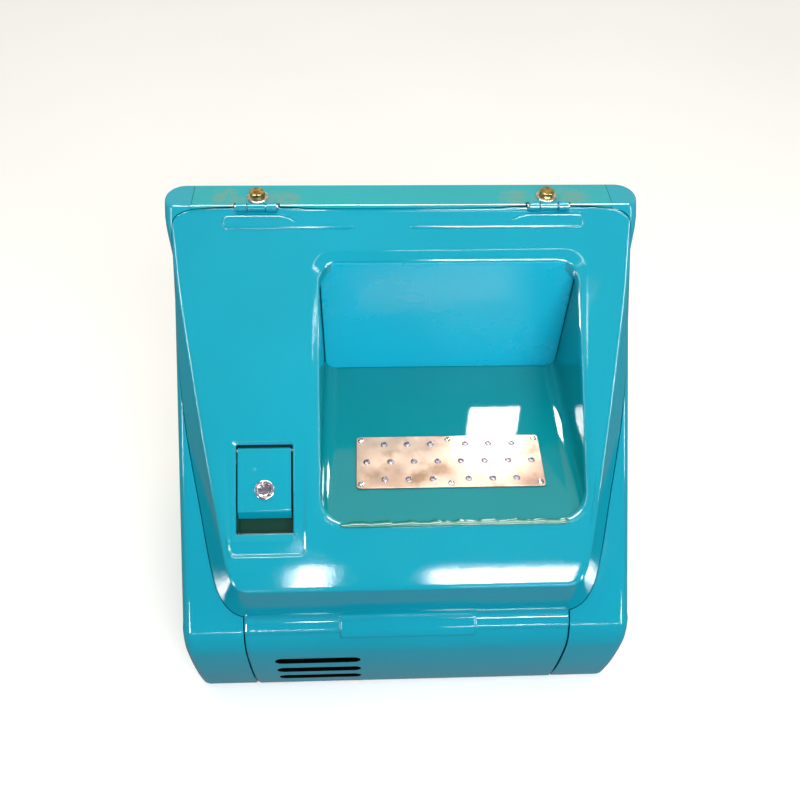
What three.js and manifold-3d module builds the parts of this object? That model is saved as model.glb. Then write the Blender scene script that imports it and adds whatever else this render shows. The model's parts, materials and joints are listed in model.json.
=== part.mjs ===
// Tool box with a step in its lid, for the outside of a construction machine.
// +Z is up, +X is to the right and the front faces -Y. The origin is the
// middle of the floor. All sizes are in millimetres.
//
// The body is a wedge: a short flat top, a front that slopes at 46 degrees,
// and a bellied apron below the slope. The lid covers the whole front, hinges
// at the top front edge and carries a deep pocket with a tread plate to stand
// on, and a paddle latch with a lock.

import * as THREE from 'three';
import { mergeVertices } from 'three/addons/utils/BufferGeometryUtils.js';
import Module from 'manifold-3d';

const wasm = await Module();
wasm.setup();

const DEGREE = Math.PI / 180;

// Body
const BODY_WIDTH = 580;
const HEIGHT = 540;
const SHEET = 3;
const FIT = 0.3;
const STRIP_DEPTH = 45;
const SLOPE_LEAN = 46 * DEGREE;
const SLOPE_LENGTH = 540;
const BELLY_LEAN = 36 * DEGREE;
const BELLY_RADIUS = 70;
const APRON_RADIUS = 600;
const FLARE = 10;
const FLARE_FROM = 478;
const FLARE_TO = 528;
const FRONT_EDGE_RADIUS = 16;
const BACK_EDGE_RADIUS = 25;
const FLOOR_EDGE_RADIUS = 5;
const TOP_EDGE_RADIUS = 8;
const CORNER_SEAM = 265;
const APRON_HALF = 209.5;
const LID_GAP = 2.5;

// Lid
const FACE_LEAN = 54 * DEGREE;
const FACE_START = 20;
const FACE_LENGTH = 456;
const SKIRT_DEPTH = 9;
const LID_OPEN = 75;
const BRACE_X = -178;
const BRACE_TOP = 75;
const BRACE_LENGTH = 170;

// Step pocket in the lid
const POCKET_LEFT = -107;
const POCKET_RIGHT = 220;
const POCKET_BACK = 122;
const POCKET_FLOOR = 303;

// Tread plate
const TREAD_WIDTH = 240;
const TREAD_DEPTH = 82;
const TREAD_BACK = 129;
const TREAD_THICKNESS = 2;
const TREAD_CENTRE_X = 56.5;
const DIMPLE_PITCH = 30.5;
const DIMPLE_ROW = 28;
const RIVET_RADIUS = 1.8;

// Hinges
const HINGE_X = 183.5;
const PIN_RADIUS = 3;
const KNUCKLE_RADIUS = 6;
const KNUCKLE_SPAN = 50.5;
const CENTRE_KNUCKLE = 22.5;
const HINGE_BOLT_FROM_EDGE = 16.8;

// Latch, in the plane of the raised face
const LATCH_LEFT = -213;
const LATCH_RIGHT = -140;
const LATCH_TOP = 274;
const LATCH_BOTTOM = 394;
const HOUSING_DEPTH = 28;
const PADDLE_LEFT = -208;
const PADDLE_RIGHT = -142.5;
const PADDLE_TOP = 282.7;
const PADDLE_BOTTOM = 359.6;
const PADDLE_PIN_AT = { down: 286, out: -10 };
const PADDLE_PIN_RADIUS = 2;
const HOOK_PIN_AT = { down: 300, out: -50 };
const HOOK_PIN_RADIUS = 2.4;
const LATCH_PINS_LEFT = -214.4;
const PIN_PLAY = 0.4;
const STRIKER_AT = { down: 312, out: -66 };
const LOCK_AT = { x: -174.8, down: 334 };

// Door frame and seal, in the plane of the slope
const FRAME_TOP_FACE = -15;
const FRAME_HALF = 285.5;
const OPENING_HALF = 236;

// Rubber buffers on the sill, which the closed lid's apron rests against
const BUFFER_X = 192;
const BUFFER_Z = 58;
const BUFFER_RADIUS = 8;
const SILL_FRONT = -189;

// Lid stay, a slotted quadrant that turns about the hinge pins
const STAY_X = -124.5;
const STAY_RADIUS = 42;
const STAY_HALF_BAND = 7.5;
const STAY_HALF_SLOT = 4.5;
const STAY_PIN_ANGLE = 245;

// Worked out from the driving dimensions
const SLOPE_RISE = Math.cos(SLOPE_LEAN);
const SLOPE_RUN = Math.sin(SLOPE_LEAN);
const BELLY_REACH = BELLY_RADIUS * (1 - Math.cos(BELLY_LEAN));
const DEPTH = STRIP_DEPTH + SLOPE_LENGTH * SLOPE_RUN + BELLY_REACH;
const BACK_Y = DEPTH / 2;
const EDGE_Y = BACK_Y - STRIP_DEPTH;
const FOLD = { y: EDGE_Y - SLOPE_LENGTH * SLOPE_RUN, z: HEIGHT - SLOPE_LENGTH * SLOPE_RISE };
const NOSE = { y: -BACK_Y, z: FOLD.z - BELLY_RADIUS * Math.sin(BELLY_LEAN) };

// Frames: slope lies on the sloping front with its origin at the top front
// edge, face lies on the raised face of the lid. In both, x is across, y runs
// up the slope and z points out of it.
const slope = new THREE.Matrix4().makeRotationX(Math.PI / 2 - SLOPE_LEAN);
slope.setPosition(0, EDGE_Y, HEIGHT);
const face = new THREE.Matrix4().makeRotationX(Math.PI / 2 - FACE_LEAN);
face.setPosition(0, EDGE_Y - FACE_START * SLOPE_RUN, HEIGHT - FACE_START * SLOPE_RISE);

const pinInSlope = new THREE.Vector3(0, -3, 1.5);
const hingePin = pinInSlope.clone().applyMatrix4(slope);
const pinInFace = hingePin.clone().applyMatrix4(face.clone().invert());

// ---------------------------------------------------------------- solids

function solidOf(geometry) {
  const bare = geometry.clone();
  bare.deleteAttribute('normal');
  bare.deleteAttribute('uv');
  const merged = mergeVertices(bare, 1e-4);
  const mesh = new wasm.Mesh({
    numProp: 3,
    vertProperties: Float32Array.from(merged.attributes.position.array),
    triVerts: Uint32Array.from(merged.index.array),
  });
  return new wasm.Manifold(mesh);
}

function geometryOf(solid) {
  const mesh = solid.getMesh();
  const geometry = new THREE.BufferGeometry();
  geometry.setAttribute('position', new THREE.BufferAttribute(mesh.vertProperties, 3));
  geometry.setIndex(new THREE.BufferAttribute(mesh.triVerts, 1));
  geometry.computeVertexNormals();
  return geometry;
}

function join(...geometries) {
  const [first, ...rest] = geometries.map(solidOf);
  return geometryOf(rest.reduce((whole, piece) => whole.add(piece), first));
}

function cut(base, ...tools) {
  return geometryOf(tools.map(solidOf).reduce((whole, tool) => whole.subtract(tool), solidOf(base)));
}

function common(base, tool) {
  return geometryOf(solidOf(base).intersect(solidOf(tool)));
}

function block(x0, x1, y0, y1, z0, z1) {
  const box = new THREE.BoxGeometry(x1 - x0, y1 - y0, z1 - z0);
  return box.translate((x0 + x1) / 2, (y0 + y1) / 2, (z0 + z1) / 2);
}

// A flat outline of [x, y] points, raised along Z.
function plate(outline, z0, z1) {
  const shape = new THREE.Shape(outline.map(([x, y]) => new THREE.Vector2(x, y)));
  const solid = new THREE.ExtrudeGeometry(shape, { depth: z1 - z0, bevelEnabled: false });
  return solid.translate(0, 0, z0);
}

// A side-view outline of [y, z] points, run along X.
function run(outline, x0, x1) {
  const turn = new THREE.Matrix4().makeBasis(
    new THREE.Vector3(0, 1, 0),
    new THREE.Vector3(0, 0, 1),
    new THREE.Vector3(1, 0, 0),
  );
  return plate(outline, x0, x1).applyMatrix4(turn);
}

// A round piece about Z: profile holds [radius, z] points from the bottom up.
function turned(profile, sides = 16) {
  const points = profile.map(([radius, z]) => new THREE.Vector2(radius, z));
  return new THREE.LatheGeometry(points, sides).rotateX(Math.PI / 2);
}

function rod(radius, z0, z1, sides = 16) {
  return turned([[0, z0], [radius, z0], [radius, z1], [0, z1]], sides);
}

function tube(inner, outer, z0, z1, sides = 16) {
  return turned([[inner, z0], [outer, z0], [outer, z1], [inner, z1], [inner, z0]], sides);
}

function alongX(geometry, x, y, z) {
  return geometry.rotateY(Math.PI / 2).translate(x, y, z);
}

function rodX(radius, x0, x1, y, z, sides = 12) {
  return alongX(rod(radius, x0, x1, sides), 0, y, z);
}

function tubeX(inner, outer, x0, x1, y, z, sides = 12) {
  return alongX(tube(inner, outer, x0, x1, sides), 0, y, z);
}

function hexagon(acrossFlats) {
  const radius = acrossFlats / Math.sqrt(3);
  return [0, 1, 2, 3, 4, 5].map((side) => {
    const angle = side * 60 * DEGREE;
    return [radius * Math.cos(angle), radius * Math.sin(angle)];
  });
}

// A skin through closed rings of the same number of points, capped at both
// ends. Rings run anticlockwise seen from the last ring's outside.
function loft(rings) {
  const count = rings[0].length;
  const positions = rings.flat().flatMap((point) => [point.x, point.y, point.z]);
  const index = [];
  for (let ring = 0; ring < rings.length - 1; ring += 1) {
    for (let at = 0; at < count; at += 1) {
      const next = (at + 1) % count;
      const low = ring * count;
      const high = low + count;
      index.push(low + at, low + next, high + next, low + at, high + next, high + at);
    }
  }
  [rings[0], rings[rings.length - 1]].forEach((ring, end) => {
    const middle = new THREE.Vector3();
    ring.forEach((point) => middle.addScaledVector(point, 1 / count));
    const hub = positions.length / 3;
    positions.push(middle.x, middle.y, middle.z);
    const base = end * (rings.length - 1) * count;
    for (let at = 0; at < count; at += 1) {
      const next = (at + 1) % count;
      const fan = end ? [hub, base + at, base + next] : [hub, base + next, base + at];
      index.push(...fan);
    }
  });
  const geometry = new THREE.BufferGeometry();
  geometry.setAttribute('position', new THREE.Float32BufferAttribute(positions, 3));
  geometry.setIndex(index);
  return geometry;
}

// ------------------------------------------------------------- materials

function paint(color) {
  return new THREE.MeshStandardMaterial({ color, roughness: 0.25, metalness: 0 });
}

function metal(color, roughness) {
  return new THREE.MeshStandardMaterial({ color, roughness, metalness: 1 });
}

function rubber() {
  return new THREE.MeshStandardMaterial({ color: 0x161616, roughness: 0.85, metalness: 0 });
}

const PAINT = 0x1f9cb4;
const ZINC = 0xc9a04e;
const BRIGHT = 0xc8c8cc;
const TREAD = 0xb09a8c;

function part(name, geometry, material) {
  const mesh = new THREE.Mesh(geometry, material);
  mesh.name = name;
  return mesh;
}

// ------------------------------------------------------------ body shell

function frontAt(z) {
  if (z >= FOLD.z) {
    return EDGE_Y - (HEIGHT - z) * Math.tan(SLOPE_LEAN);
  }
  const radius = z >= NOSE.z ? BELLY_RADIUS : APRON_RADIUS;
  const rise = z - NOSE.z;
  return NOSE.y + radius - Math.sqrt(radius * radius - rise * rise);
}

function halfWidthAt(z) {
  const t = THREE.MathUtils.smoothstep(z, FLARE_FROM, FLARE_TO);
  return BODY_WIDTH / 2 + FLARE * t;
}

// A quarter ellipse from angle0, at the corner with the given inner centre.
function cornerArc(centreX, centreY, radiusX, radiusY, angle0, z) {
  const steps = 4;
  const points = [];
  for (let step = 0; step <= steps; step += 1) {
    const angle = angle0 + (Math.PI / 2) * (step / steps);
    const x = centreX + radiusX * Math.cos(angle);
    points.push(new THREE.Vector3(x, centreY + radiusY * Math.sin(angle), z));
  }
  return points;
}

// One level section of the body, drawn in by inset on every side.
function bodyRing(z, sheet, inset) {
  const onSlope = z >= FOLD.z;
  const stretch = onSlope ? 1 / SLOPE_RISE : 1;
  const half = halfWidthAt(z) - sheet - inset;
  const front = frontAt(z) + sheet * stretch + inset * 0.5;
  const back = BACK_Y - sheet - inset;
  const frontX = Math.max(FRONT_EDGE_RADIUS - sheet - inset / 2, 2);
  const frontY = frontX * stretch;
  const room = back - front;
  const flare = halfWidthAt(z) - BODY_WIDTH / 2;
  const wanted = BACK_EDGE_RADIUS + flare - sheet - inset / 2;
  const backRadius = Math.max(Math.min(wanted, room - frontY - 1), 2);
  return [
    ...cornerArc(-half + frontX, front + frontY, frontX, frontY, Math.PI, z),
    ...cornerArc(half - frontX, front + frontY, frontX, frontY, 1.5 * Math.PI, z),
    ...cornerArc(half - backRadius, back - backRadius, backRadius, backRadius, 0, z),
    ...cornerArc(-half + backRadius, back - backRadius, backRadius, backRadius, Math.PI / 2, z),
  ];
}

function bodySolid(sheet) {
  const low = sheet;
  const high = HEIGHT - sheet;
  const flares = [0, 0.25, 0.5, 0.75].map((t) => THREE.MathUtils.lerp(FLARE_FROM, FLARE_TO, t));
  const levels = [
    [low, FLOOR_EDGE_RADIUS],
    [low + FLOOR_EDGE_RADIUS, 0],
    [NOSE.z * 0.55, 0],
    [NOSE.z, 0],
    [THREE.MathUtils.lerp(NOSE.z, FOLD.z, 0.6), 0],
    [FOLD.z, 0],
    ...flares.map((z) => [z, 0]),
    [HEIGHT - TOP_EDGE_RADIUS - sheet, 0],
    [high - TOP_EDGE_RADIUS * 0.3, TOP_EDGE_RADIUS * 0.3],
    [high, TOP_EDGE_RADIUS],
  ];
  return loft(levels.map(([z, inset]) => bodyRing(z, sheet, inset)));
}

function bodyShell() {
  return cut(bodySolid(0), bodySolid(SHEET));
}

// --------------------------------------------------------- lid outlines

// Right half of the lid's outline on the slope, [x, distance down] from the
// top edge round to the apron. The foot is where the apron begins.
function lidHalfOutline(grow) {
  return [
    [262, 6 - grow],
    [277 + grow * 0.4, 9.5 - grow * 0.8],
    [287 + grow * 0.8, 17 - grow * 0.4],
    [290 + grow, 28],
    [288.5 + grow, 80],
    [285 + grow, 210],
    [277 + grow, 290],
    [263 + grow, 375],
    [254.5 + grow, 435],
    [246 + grow, 480 + grow * 0.3],
    [236 + grow * 0.8, 503 + grow * 0.6],
    [224 + grow * 0.6, 516 + grow * 0.8],
    [APRON_HALF + grow * 0.3, 522 + grow],
  ];
}

// The raised face's edge, [x, distance down the face], point for point with
// the outline above.
function faceHalfOutline(grow) {
  return [
    [262, -14 - grow],
    [276 + grow * 0.4, -10.5 - grow * 0.8],
    [285 + grow * 0.8, -3 - grow * 0.4],
    [287.5 + grow, 10],
    [285 + grow, 62],
    [263 + grow, 190],
    [250 + grow, 268],
    [236 + grow, 345],
    [226 + grow, 400],
    [220.5 + grow, 428 + grow * 0.3],
    [214.5 + grow * 0.8, 444 + grow * 0.6],
    [207 + grow * 0.6, 452.5 + grow * 0.8],
    [198 + grow * 0.3, FACE_LENGTH + grow],
  ];
}

// Both halves as one closed ring, anticlockwise seen from outside.
function wholeRing(half, toPoint) {
  const right = half.map(([x, down]) => toPoint(x, down));
  const left = half.map(([x, down]) => toPoint(-x, down)).reverse();
  return [...left, ...right].reverse();
}

function slopeRing(grow, out) {
  return wholeRing(lidHalfOutline(grow), (x, down) => new THREE.Vector3(x, -down, out));
}

function faceRing(grow, out) {
  const toSlope = face.clone().premultiply(slope.clone().invert());
  const place = (x, down) => new THREE.Vector3(x, -down, out).applyMatrix4(toSlope);
  return wholeRing(faceHalfOutline(grow), place);
}

function lidOutlinePrism(grow, z0, z1) {
  return loft([slopeRing(grow, z0), slopeRing(grow, z1)]).applyMatrix4(slope);
}

// --------------------------------------------------------- case pieces

function hingeSides() {
  return [
    ['left', -HINGE_X],
    ['right', HINGE_X],
  ];
}

function cheek(side) {
  const wall = side > 0 ? block(CORNER_SEAM + FIT, 320, -300, 300, -10, 600)
    : block(-320, -CORNER_SEAM - FIT, -300, 300, -10, 600);
  const inner = APRON_HALF + LID_GAP;
  const ends = side > 0 ? [inner, CORNER_SEAM + 1] : [-CORNER_SEAM - 1, -inner];
  const frontZone = run([
    [-300, -10], [-190, -10], [-190, FOLD.z - 10],
    [frontAt(500) + 12, 500], [-300, 500],
  ], ...ends);
  const opening = lidOutlinePrism(LID_GAP, -SKIRT_DEPTH - 3, 120);
  return cut(common(bodyShell(), join(wall, frontZone)), opening);
}

function knuckleNotch(x) {
  return block(x - KNUCKLE_SPAN / 2 - 6, x + KNUCKLE_SPAN / 2 + 6, 100, hingePin.y + 9, 500, 560);
}

function topBeam() {
  const inner = CORNER_SEAM - FIT;
  const band = common(bodyShell(), block(-inner, inner, -300, 300, 505, 600));
  const opening = lidOutlinePrism(1.5, -60, 120);
  const boltY = EDGE_Y + HINGE_BOLT_FROM_EDGE;
  const tools = hingeSides().flatMap(([, x]) => [
    knuckleNotch(x),
    rod(5.6, 500, 560, 12).translate(x, boltY, 0),
  ]);
  return cut(band, opening, ...tools);
}

function backPanel() {
  const inner = CORNER_SEAM - FIT;
  const band = common(bodyShell(), block(-inner, inner, 216.3, 300, -10, 504.7));
  const holes = [-200, 200].flatMap((x) => [90, 430].map((z) => {
    const drill = rod(5.6, -20, 20, 12).rotateX(Math.PI / 2);
    return drill.translate(x, BACK_Y, z);
  }));
  return cut(band, ...holes);
}

function floorPanel() {
  const inner = CORNER_SEAM - FIT;
  const sheet = plate([
    [-APRON_HALF + 1, -203], [APRON_HALF - 1, -203], [APRON_HALF - 1, SILL_FRONT - 2 * FIT],
    [inner, SILL_FRONT - 2 * FIT], [inner, 216], [-inner, 216], [-inner, SILL_FRONT - 2 * FIT],
    [-APRON_HALF + 1, SILL_FRONT - 2 * FIT],
  ], 0, SHEET);
  return cut(sheet, rod(11.4, -5, 10, 16).translate(0, -110, 0));
}

function sillRail() {
  const back = SILL_FRONT;
  const leg = SHEET + FIT;
  return run([
    [back, leg], [back + 30, leg], [back + 30, leg + 3], [back + 3, leg + 3],
    [back + 3, 70], [back, 70],
  ], -262, 262);
}

function doorFrame() {
  const outer = plate([
    [-FRAME_HALF, -8], [-FRAME_HALF, -500], [-250, -528],
    [250, -528], [FRAME_HALF, -500], [FRAME_HALF, -8],
  ], FRAME_TOP_FACE - 3, FRAME_TOP_FACE);
  const inner = plate([
    [-OPENING_HALF, -28], [-OPENING_HALF, -430], [-214, -500],
    [214, -500], [OPENING_HALF, -430], [OPENING_HALF, -28],
  ], FRAME_TOP_FACE - 10, FRAME_TOP_FACE + 10);
  return cut(outer, inner);
}

function doorSeal() {
  const low = FRAME_TOP_FACE + FIT;
  const high = -SKIRT_DEPTH - 0.4;
  const outer = loft([slopeRing(-6, low), slopeRing(-6, high)]);
  const inner = loft([slopeRing(-13, low - 5), slopeRing(-13, high + 5)]);
  return cut(outer, inner);
}

function drainGrommet() {
  return turned([[6, 0.4], [11, 0.4], [11, 3.4], [15, 3.4], [15, 6], [6, 6], [6, 0.4]], 16);
}

function fixedLeaf(x) {
  const half = KNUCKLE_SPAN / 2;
  const centre = CENTRE_KNUCKLE / 2 + 0.5;
  const underside = HEIGHT - SHEET - FIT;
  const leaf = block(x - half, x + half, hingePin.y, BACK_Y - 14, underside - 3, underside);
  const knuckles = rodX(KNUCKLE_RADIUS, x - half, x + half, hingePin.y, hingePin.z);
  const notch = block(x - centre, x + centre, 100, hingePin.y + 7, 500, 560);
  const bore = rodX(PIN_RADIUS + PIN_PLAY, x - half - 5, x + half + 5, hingePin.y, hingePin.z);
  const boltHole = rod(5.6, 500, 560, 12).translate(x, EDGE_Y + HINGE_BOLT_FROM_EDGE, 0);
  return cut(join(leaf, knuckles), notch, bore, boltHole);
}

function hingeBolt() {
  const head = plate(hexagon(17), 2.6, 9);
  return join(head, rod(5, -18, 3, 12));
}

function hingeNut() {
  const top = -SHEET - FIT - 3 - FIT;
  return cut(plate(hexagon(17), top - 8, top), rod(5.3, -40, 10, 12));
}

// ---------------------------------------------------------- lid pieces

function apronOutline(inset, z0) {
  const levels = [z0, 40, 85, NOSE.z, 143, FOLD.z];
  const points = levels.map((z) => [frontAt(z) + inset * (z < FOLD.z ? 1 : 1.4), z]);
  const top = FOLD.z + 22;
  points.push([frontAt(top) + inset * 1.4, top]);
  return points;
}

function apronSheet() {
  const outer = apronOutline(0, 2);
  const inner = apronOutline(SHEET, 2).reverse();
  return run([...outer, ...inner].reverse(), -APRON_HALF, APRON_HALF);
}

function ventSlots() {
  const length = 94;
  const half = 10;
  return [100, 67, 35].map((z) => {
    const bar = block(-119 - length / 2, -119 + length / 2, -260, -190, z - half, z + half);
    const ends = [-1, 1].map((side) => {
      const round = rod(half, -35, 35, 12).rotateX(Math.PI / 2);
      return round.translate(-119 + (side * length) / 2, -225, z);
    });
    return join(bar, ...ends);
  });
}

function pocketVoid() {
  return block(POCKET_LEFT, POCKET_RIGHT, -300, POCKET_BACK, POCKET_FLOOR, 700);
}

function lidSkin() {
  const shell = loft([slopeRing(0, -SKIRT_DEPTH), faceRing(0, 0)]).applyMatrix4(slope);
  const hollow = loft([slopeRing(-3.5, -6), faceRing(-3, -SHEET)]).applyMatrix4(slope);
  const mouth = lidOutlinePrism(-14, -SKIRT_DEPTH - 5, -5.9);
  const latchHole = block(LATCH_LEFT, LATCH_RIGHT, -LATCH_BOTTOM, -LATCH_TOP, -20, 20);
  const hingeRelief = hingeSides().flatMap(([, x]) => {
    const half = KNUCKLE_SPAN / 2 + 6;
    return [
      block(x - half, x + half, -10.5, 10, -30, 30).applyMatrix4(slope),
      block(x - half, x + half, -24, 10, -30, -4.45).applyMatrix4(slope),
    ];
  });
  const stay = block(STAY_X - 4, STAY_X + 4, -70, 0, -30, -4.5).applyMatrix4(slope);
  const boxed = cut(shell, hollow, mouth);
  const cutters = [pocketVoid(), latchHole.applyMatrix4(face), ...hingeRelief, stay];
  return cut(join(boxed, apronSheet()), ...cutters, ...ventSlots());
}

// Everything further out than the underside of the raised face.
function aboveFace(clearance) {
  return block(-400, 400, -900, 500, -SHEET - clearance, 900).applyMatrix4(face);
}

function rivetPlaces() {
  const across = TREAD_WIDTH / 2 - 6;
  const along = TREAD_DEPTH / 2 - 6;
  const middle = POCKET_BACK - TREAD_BACK - TREAD_DEPTH / 2;
  return [-1, 0, 1].flatMap((side) => [-1, 1].map((end) => (
    { x: TREAD_CENTRE_X + side * across, y: middle + end * along }
  )));
}

function rivetHoles() {
  return rivetPlaces().map(({ x, y }) => rod(RIVET_RADIUS + 0.4, 290, 310, 8).translate(x, y, 0));
}

function stepPocket() {
  const wall = 2.5;
  const outer = block(
    POCKET_LEFT - wall, POCKET_RIGHT + wall, -300, POCKET_BACK + wall,
    POCKET_FLOOR - wall, 700,
  );
  return cut(outer, pocketVoid(), aboveFace(0.4), ...rivetHoles());
}

function dimplePlaces() {
  const rows = [
    { row: -1, from: 0.75, count: 3 },
    { row: 0, from: 0.5, count: 4 },
    { row: 1, from: 0.75, count: 3 },
  ];
  return rows.flatMap(({ row, from, count }) => {
    const places = [];
    for (let step = 0; step < count; step += 1) {
      const x = (from + step) * DIMPLE_PITCH;
      places.push({ x, y: row * DIMPLE_ROW }, { x: -x, y: row * DIMPLE_ROW });
    }
    return places;
  });
}

function treadPlate() {
  const middle = POCKET_BACK - TREAD_BACK - TREAD_DEPTH / 2;
  const low = POCKET_FLOOR + FIT;
  const high = low + TREAD_THICKNESS;
  const sheet = block(
    TREAD_CENTRE_X - TREAD_WIDTH / 2, TREAD_CENTRE_X + TREAD_WIDTH / 2,
    middle - TREAD_DEPTH / 2, middle + TREAD_DEPTH / 2, low, high,
  );
  const dimples = dimplePlaces().map(({ x, y }) => {
    const dome = turned([[0, high - 0.5], [5, high - 0.5], [5, high], [3, high + 2.2], [0, high + 2.2]], 6);
    return dome.translate(TREAD_CENTRE_X + x, middle + y, 0);
  });
  return cut(join(sheet, ...dimples), ...rivetHoles());
}

function treadRivet() {
  const seat = POCKET_FLOOR + FIT + TREAD_THICKNESS + FIT;
  const foot = POCKET_FLOOR - 6;
  return turned([
    [0, foot], [RIVET_RADIUS, foot], [RIVET_RADIUS, seat],
    [4, seat], [3, seat + 1.4], [0, seat + 1.8],
  ], 8);
}

function sealantBead() {
  const y = frontAtFace(POCKET_FLOOR) + 7;
  const bead = rod(3, POCKET_LEFT + 26, POCKET_RIGHT - 26, 10);
  const floor = block(-300, 300, -300, 300, 0, POCKET_FLOOR + FIT);
  return cut(alongX(bead, 0, y, POCKET_FLOOR + FIT), floor);
}

function frontAtFace(z) {
  const start = new THREE.Vector3().setFromMatrixPosition(face);
  return start.y - (start.z - z) * Math.tan(FACE_LEAN);
}

// In the plane of the raised face, which the leaf lies under.
function movingLeaf() {
  const half = CENTRE_KNUCKLE / 2;
  const top = -SHEET - FIT;
  const bottom = top - 2.8;
  const neck = join(
    block(-half, half, 11, 18.5, bottom, -1),
    block(-half, half, 9, 12, bottom, top),
  );
  const leaf = block(-27, 27, -32, 10, bottom, top);
  const knuckle = rodX(KNUCKLE_RADIUS, -half, half, pinInFace.y, pinInFace.z);
  const bore = rodX(PIN_RADIUS + PIN_PLAY, -half - 5, half + 5, pinInFace.y, pinInFace.z);
  return cut(join(neck, leaf, knuckle), bore);
}

function leafNut() {
  return cut(plate(hexagon(10), -11.4, -6.4), rod(2.2, -20, 0, 8));
}

function lidBrace() {
  const channel = [
    [-14, -3.4], [-11, -3.4], [-11, -15], [11, -15],
    [11, -3.4], [14, -3.4], [14, -18], [-14, -18],
  ];
  return plate(channel, 0, BRACE_LENGTH).rotateX(Math.PI / 2).translate(BRACE_X, -BRACE_TOP, 0);
}

// Annular sector in the side view about the hinge pin, angles in degrees
// anticlockwise from +Y.
function sector(inner, outer, from, to, x0, x1) {
  const steps = Math.max(2, Math.round((to - from) / 12));
  const arc = (radius, start, end) => {
    const points = [];
    for (let step = 0; step <= steps; step += 1) {
      const angle = THREE.MathUtils.lerp(start, end, step / steps) * DEGREE;
      points.push([hingePin.y + radius * Math.cos(angle), hingePin.z + radius * Math.sin(angle)]);
    }
    return points;
  };
  return run([...arc(outer, from, to), ...arc(inner, to, from)], x0, x1);
}

function stayQuadrant() {
  const inner = STAY_RADIUS - STAY_HALF_BAND;
  const outer = STAY_RADIUS + STAY_HALF_BAND;
  const last = STAY_PIN_ANGLE + LID_OPEN;
  const band = sector(inner, outer, 231, last + 8, STAY_X - 1.5, STAY_X + 1.5);
  const slotIn = STAY_RADIUS - STAY_HALF_SLOT;
  const slotOut = STAY_RADIUS + STAY_HALF_SLOT;
  const slot = sector(slotIn, slotOut, STAY_PIN_ANGLE - 7, last, -200, 0);
  const slotEnd = sector(slotIn, slotOut, last, last + 6, -200, 0);
  const foot = block(STAY_X - 16, STAY_X + 1.5, -62, -30, -6.4, -3.4).applyMatrix4(slope);
  return join(cut(band, slot, slotEnd), foot);
}

function stayPinPlace() {
  const angle = STAY_PIN_ANGLE * DEGREE;
  return {
    y: hingePin.y + STAY_RADIUS * Math.cos(angle),
    z: hingePin.z + STAY_RADIUS * Math.sin(angle),
  };
}

function stayBracket() {
  const pin = stayPinPlace();
  const inverse = slope.clone().invert();
  const local = new THREE.Vector3(0, pin.y, pin.z).applyMatrix4(inverse);
  const x0 = STAY_X + 2;
  const low = FRAME_TOP_FACE - 3 - FIT;
  const foot = block(x0, x0 + 16, -29, -10, low - 3, low);
  const arm = run([
    [-10, low], [-10, low - 6], [local.y - 8, local.z - 6], [local.y - 8, local.z + 6],
    [-31, low + 2], [-31, low],
  ], x0, x0 + 3);
  const hole = rodX(4.3, x0 - 5, x0 + 10, local.y, local.z);
  return cut(join(foot, arm), hole).applyMatrix4(slope);
}

function stayPin() {
  const pin = stayPinPlace();
  const x0 = STAY_X - 1.5;
  const shank = rodX(3.9, x0 - 3, x0 + 10, pin.y, pin.z);
  const head = rodX(7, x0 - 5, x0 - FIT, pin.y, pin.z);
  return join(shank, head);
}

// -------------------------------------------------------- latch pieces
// All in the plane of the raised face: x across, y up the face, z out of it.

function latchHousing() {
  const wall = 2;
  const outer = block(
    LATCH_LEFT - wall, LATCH_RIGHT + wall, -LATCH_BOTTOM - wall, -LATCH_TOP + wall,
    -HOUSING_DEPTH, -SHEET - 0.4,
  );
  const inside = block(
    LATCH_LEFT, LATCH_RIGHT, -LATCH_BOTTOM, -LATCH_TOP, -HOUSING_DEPTH + wall, 10,
  );
  const armSlot = block(-210.4, -202.6, -331, -279, -60, 0);
  const keeper = block(-148.2, LATCH_RIGHT + 1, -340, -328, -20, -17);
  const ears = [-213.5, -202.4].map((x) => block(
    x, x + 2.8, -HOOK_PIN_AT.down - 10, -HOOK_PIN_AT.down + 10,
    HOOK_PIN_AT.out - 7, -HOUSING_DEPTH + 1,
  ));
  return cut(join(cut(outer, inside), keeper, ...ears), armSlot, hookBore(), paddleBore());
}

function hookBore() {
  return rodX(HOOK_PIN_RADIUS + PIN_PLAY, -230, -190, -HOOK_PIN_AT.down, HOOK_PIN_AT.out);
}

function paddleBore() {
  return rodX(PADDLE_PIN_RADIUS + PIN_PLAY, -230, -120, -PADDLE_PIN_AT.down, PADDLE_PIN_AT.out);
}

function latchPaddle() {
  const outside = -3;
  const sheet = block(PADDLE_LEFT, PADDLE_RIGHT, -PADDLE_BOTTOM, -PADDLE_TOP, outside - 3, outside);
  const grip = block(
    PADDLE_LEFT, PADDLE_RIGHT, -PADDLE_BOTTOM, -PADDLE_BOTTOM + 3, outside - 13, outside,
  );
  const arm = run([
    [-283, -3.5], [-296, -3.5], [-295, -12], [-293.5, -30], [-288, -30], [-281, -12],
  ].reverse(), PADDLE_LEFT, PADDLE_LEFT + 3.5);
  const ear = run([
    [-283, -3.5], [-296, -3.5], [-292, -14.5], [-281, -14.5],
  ].reverse(), PADDLE_RIGHT - 3.5, PADDLE_RIGHT);
  const lockHole = rod(9.9, -20, 20).translate(LOCK_AT.x, -LOCK_AT.down, 0);
  return cut(join(sheet, grip, arm, ear), paddleBore(), lockHole);
}

function lockBarrel() {
  return turned([
    [7.1, -19.8], [9.5, -19.8], [9.5, -2.7], [12.3, -2.7], [12.3, -1.4], [11.3, -0.6],
    [7.1, -0.6], [7.1, -19.8],
  ], 20);
}

function lockNut() {
  return cut(plate(hexagon(25), -10, -6.3), rod(9.8, -20, 0));
}

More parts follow.
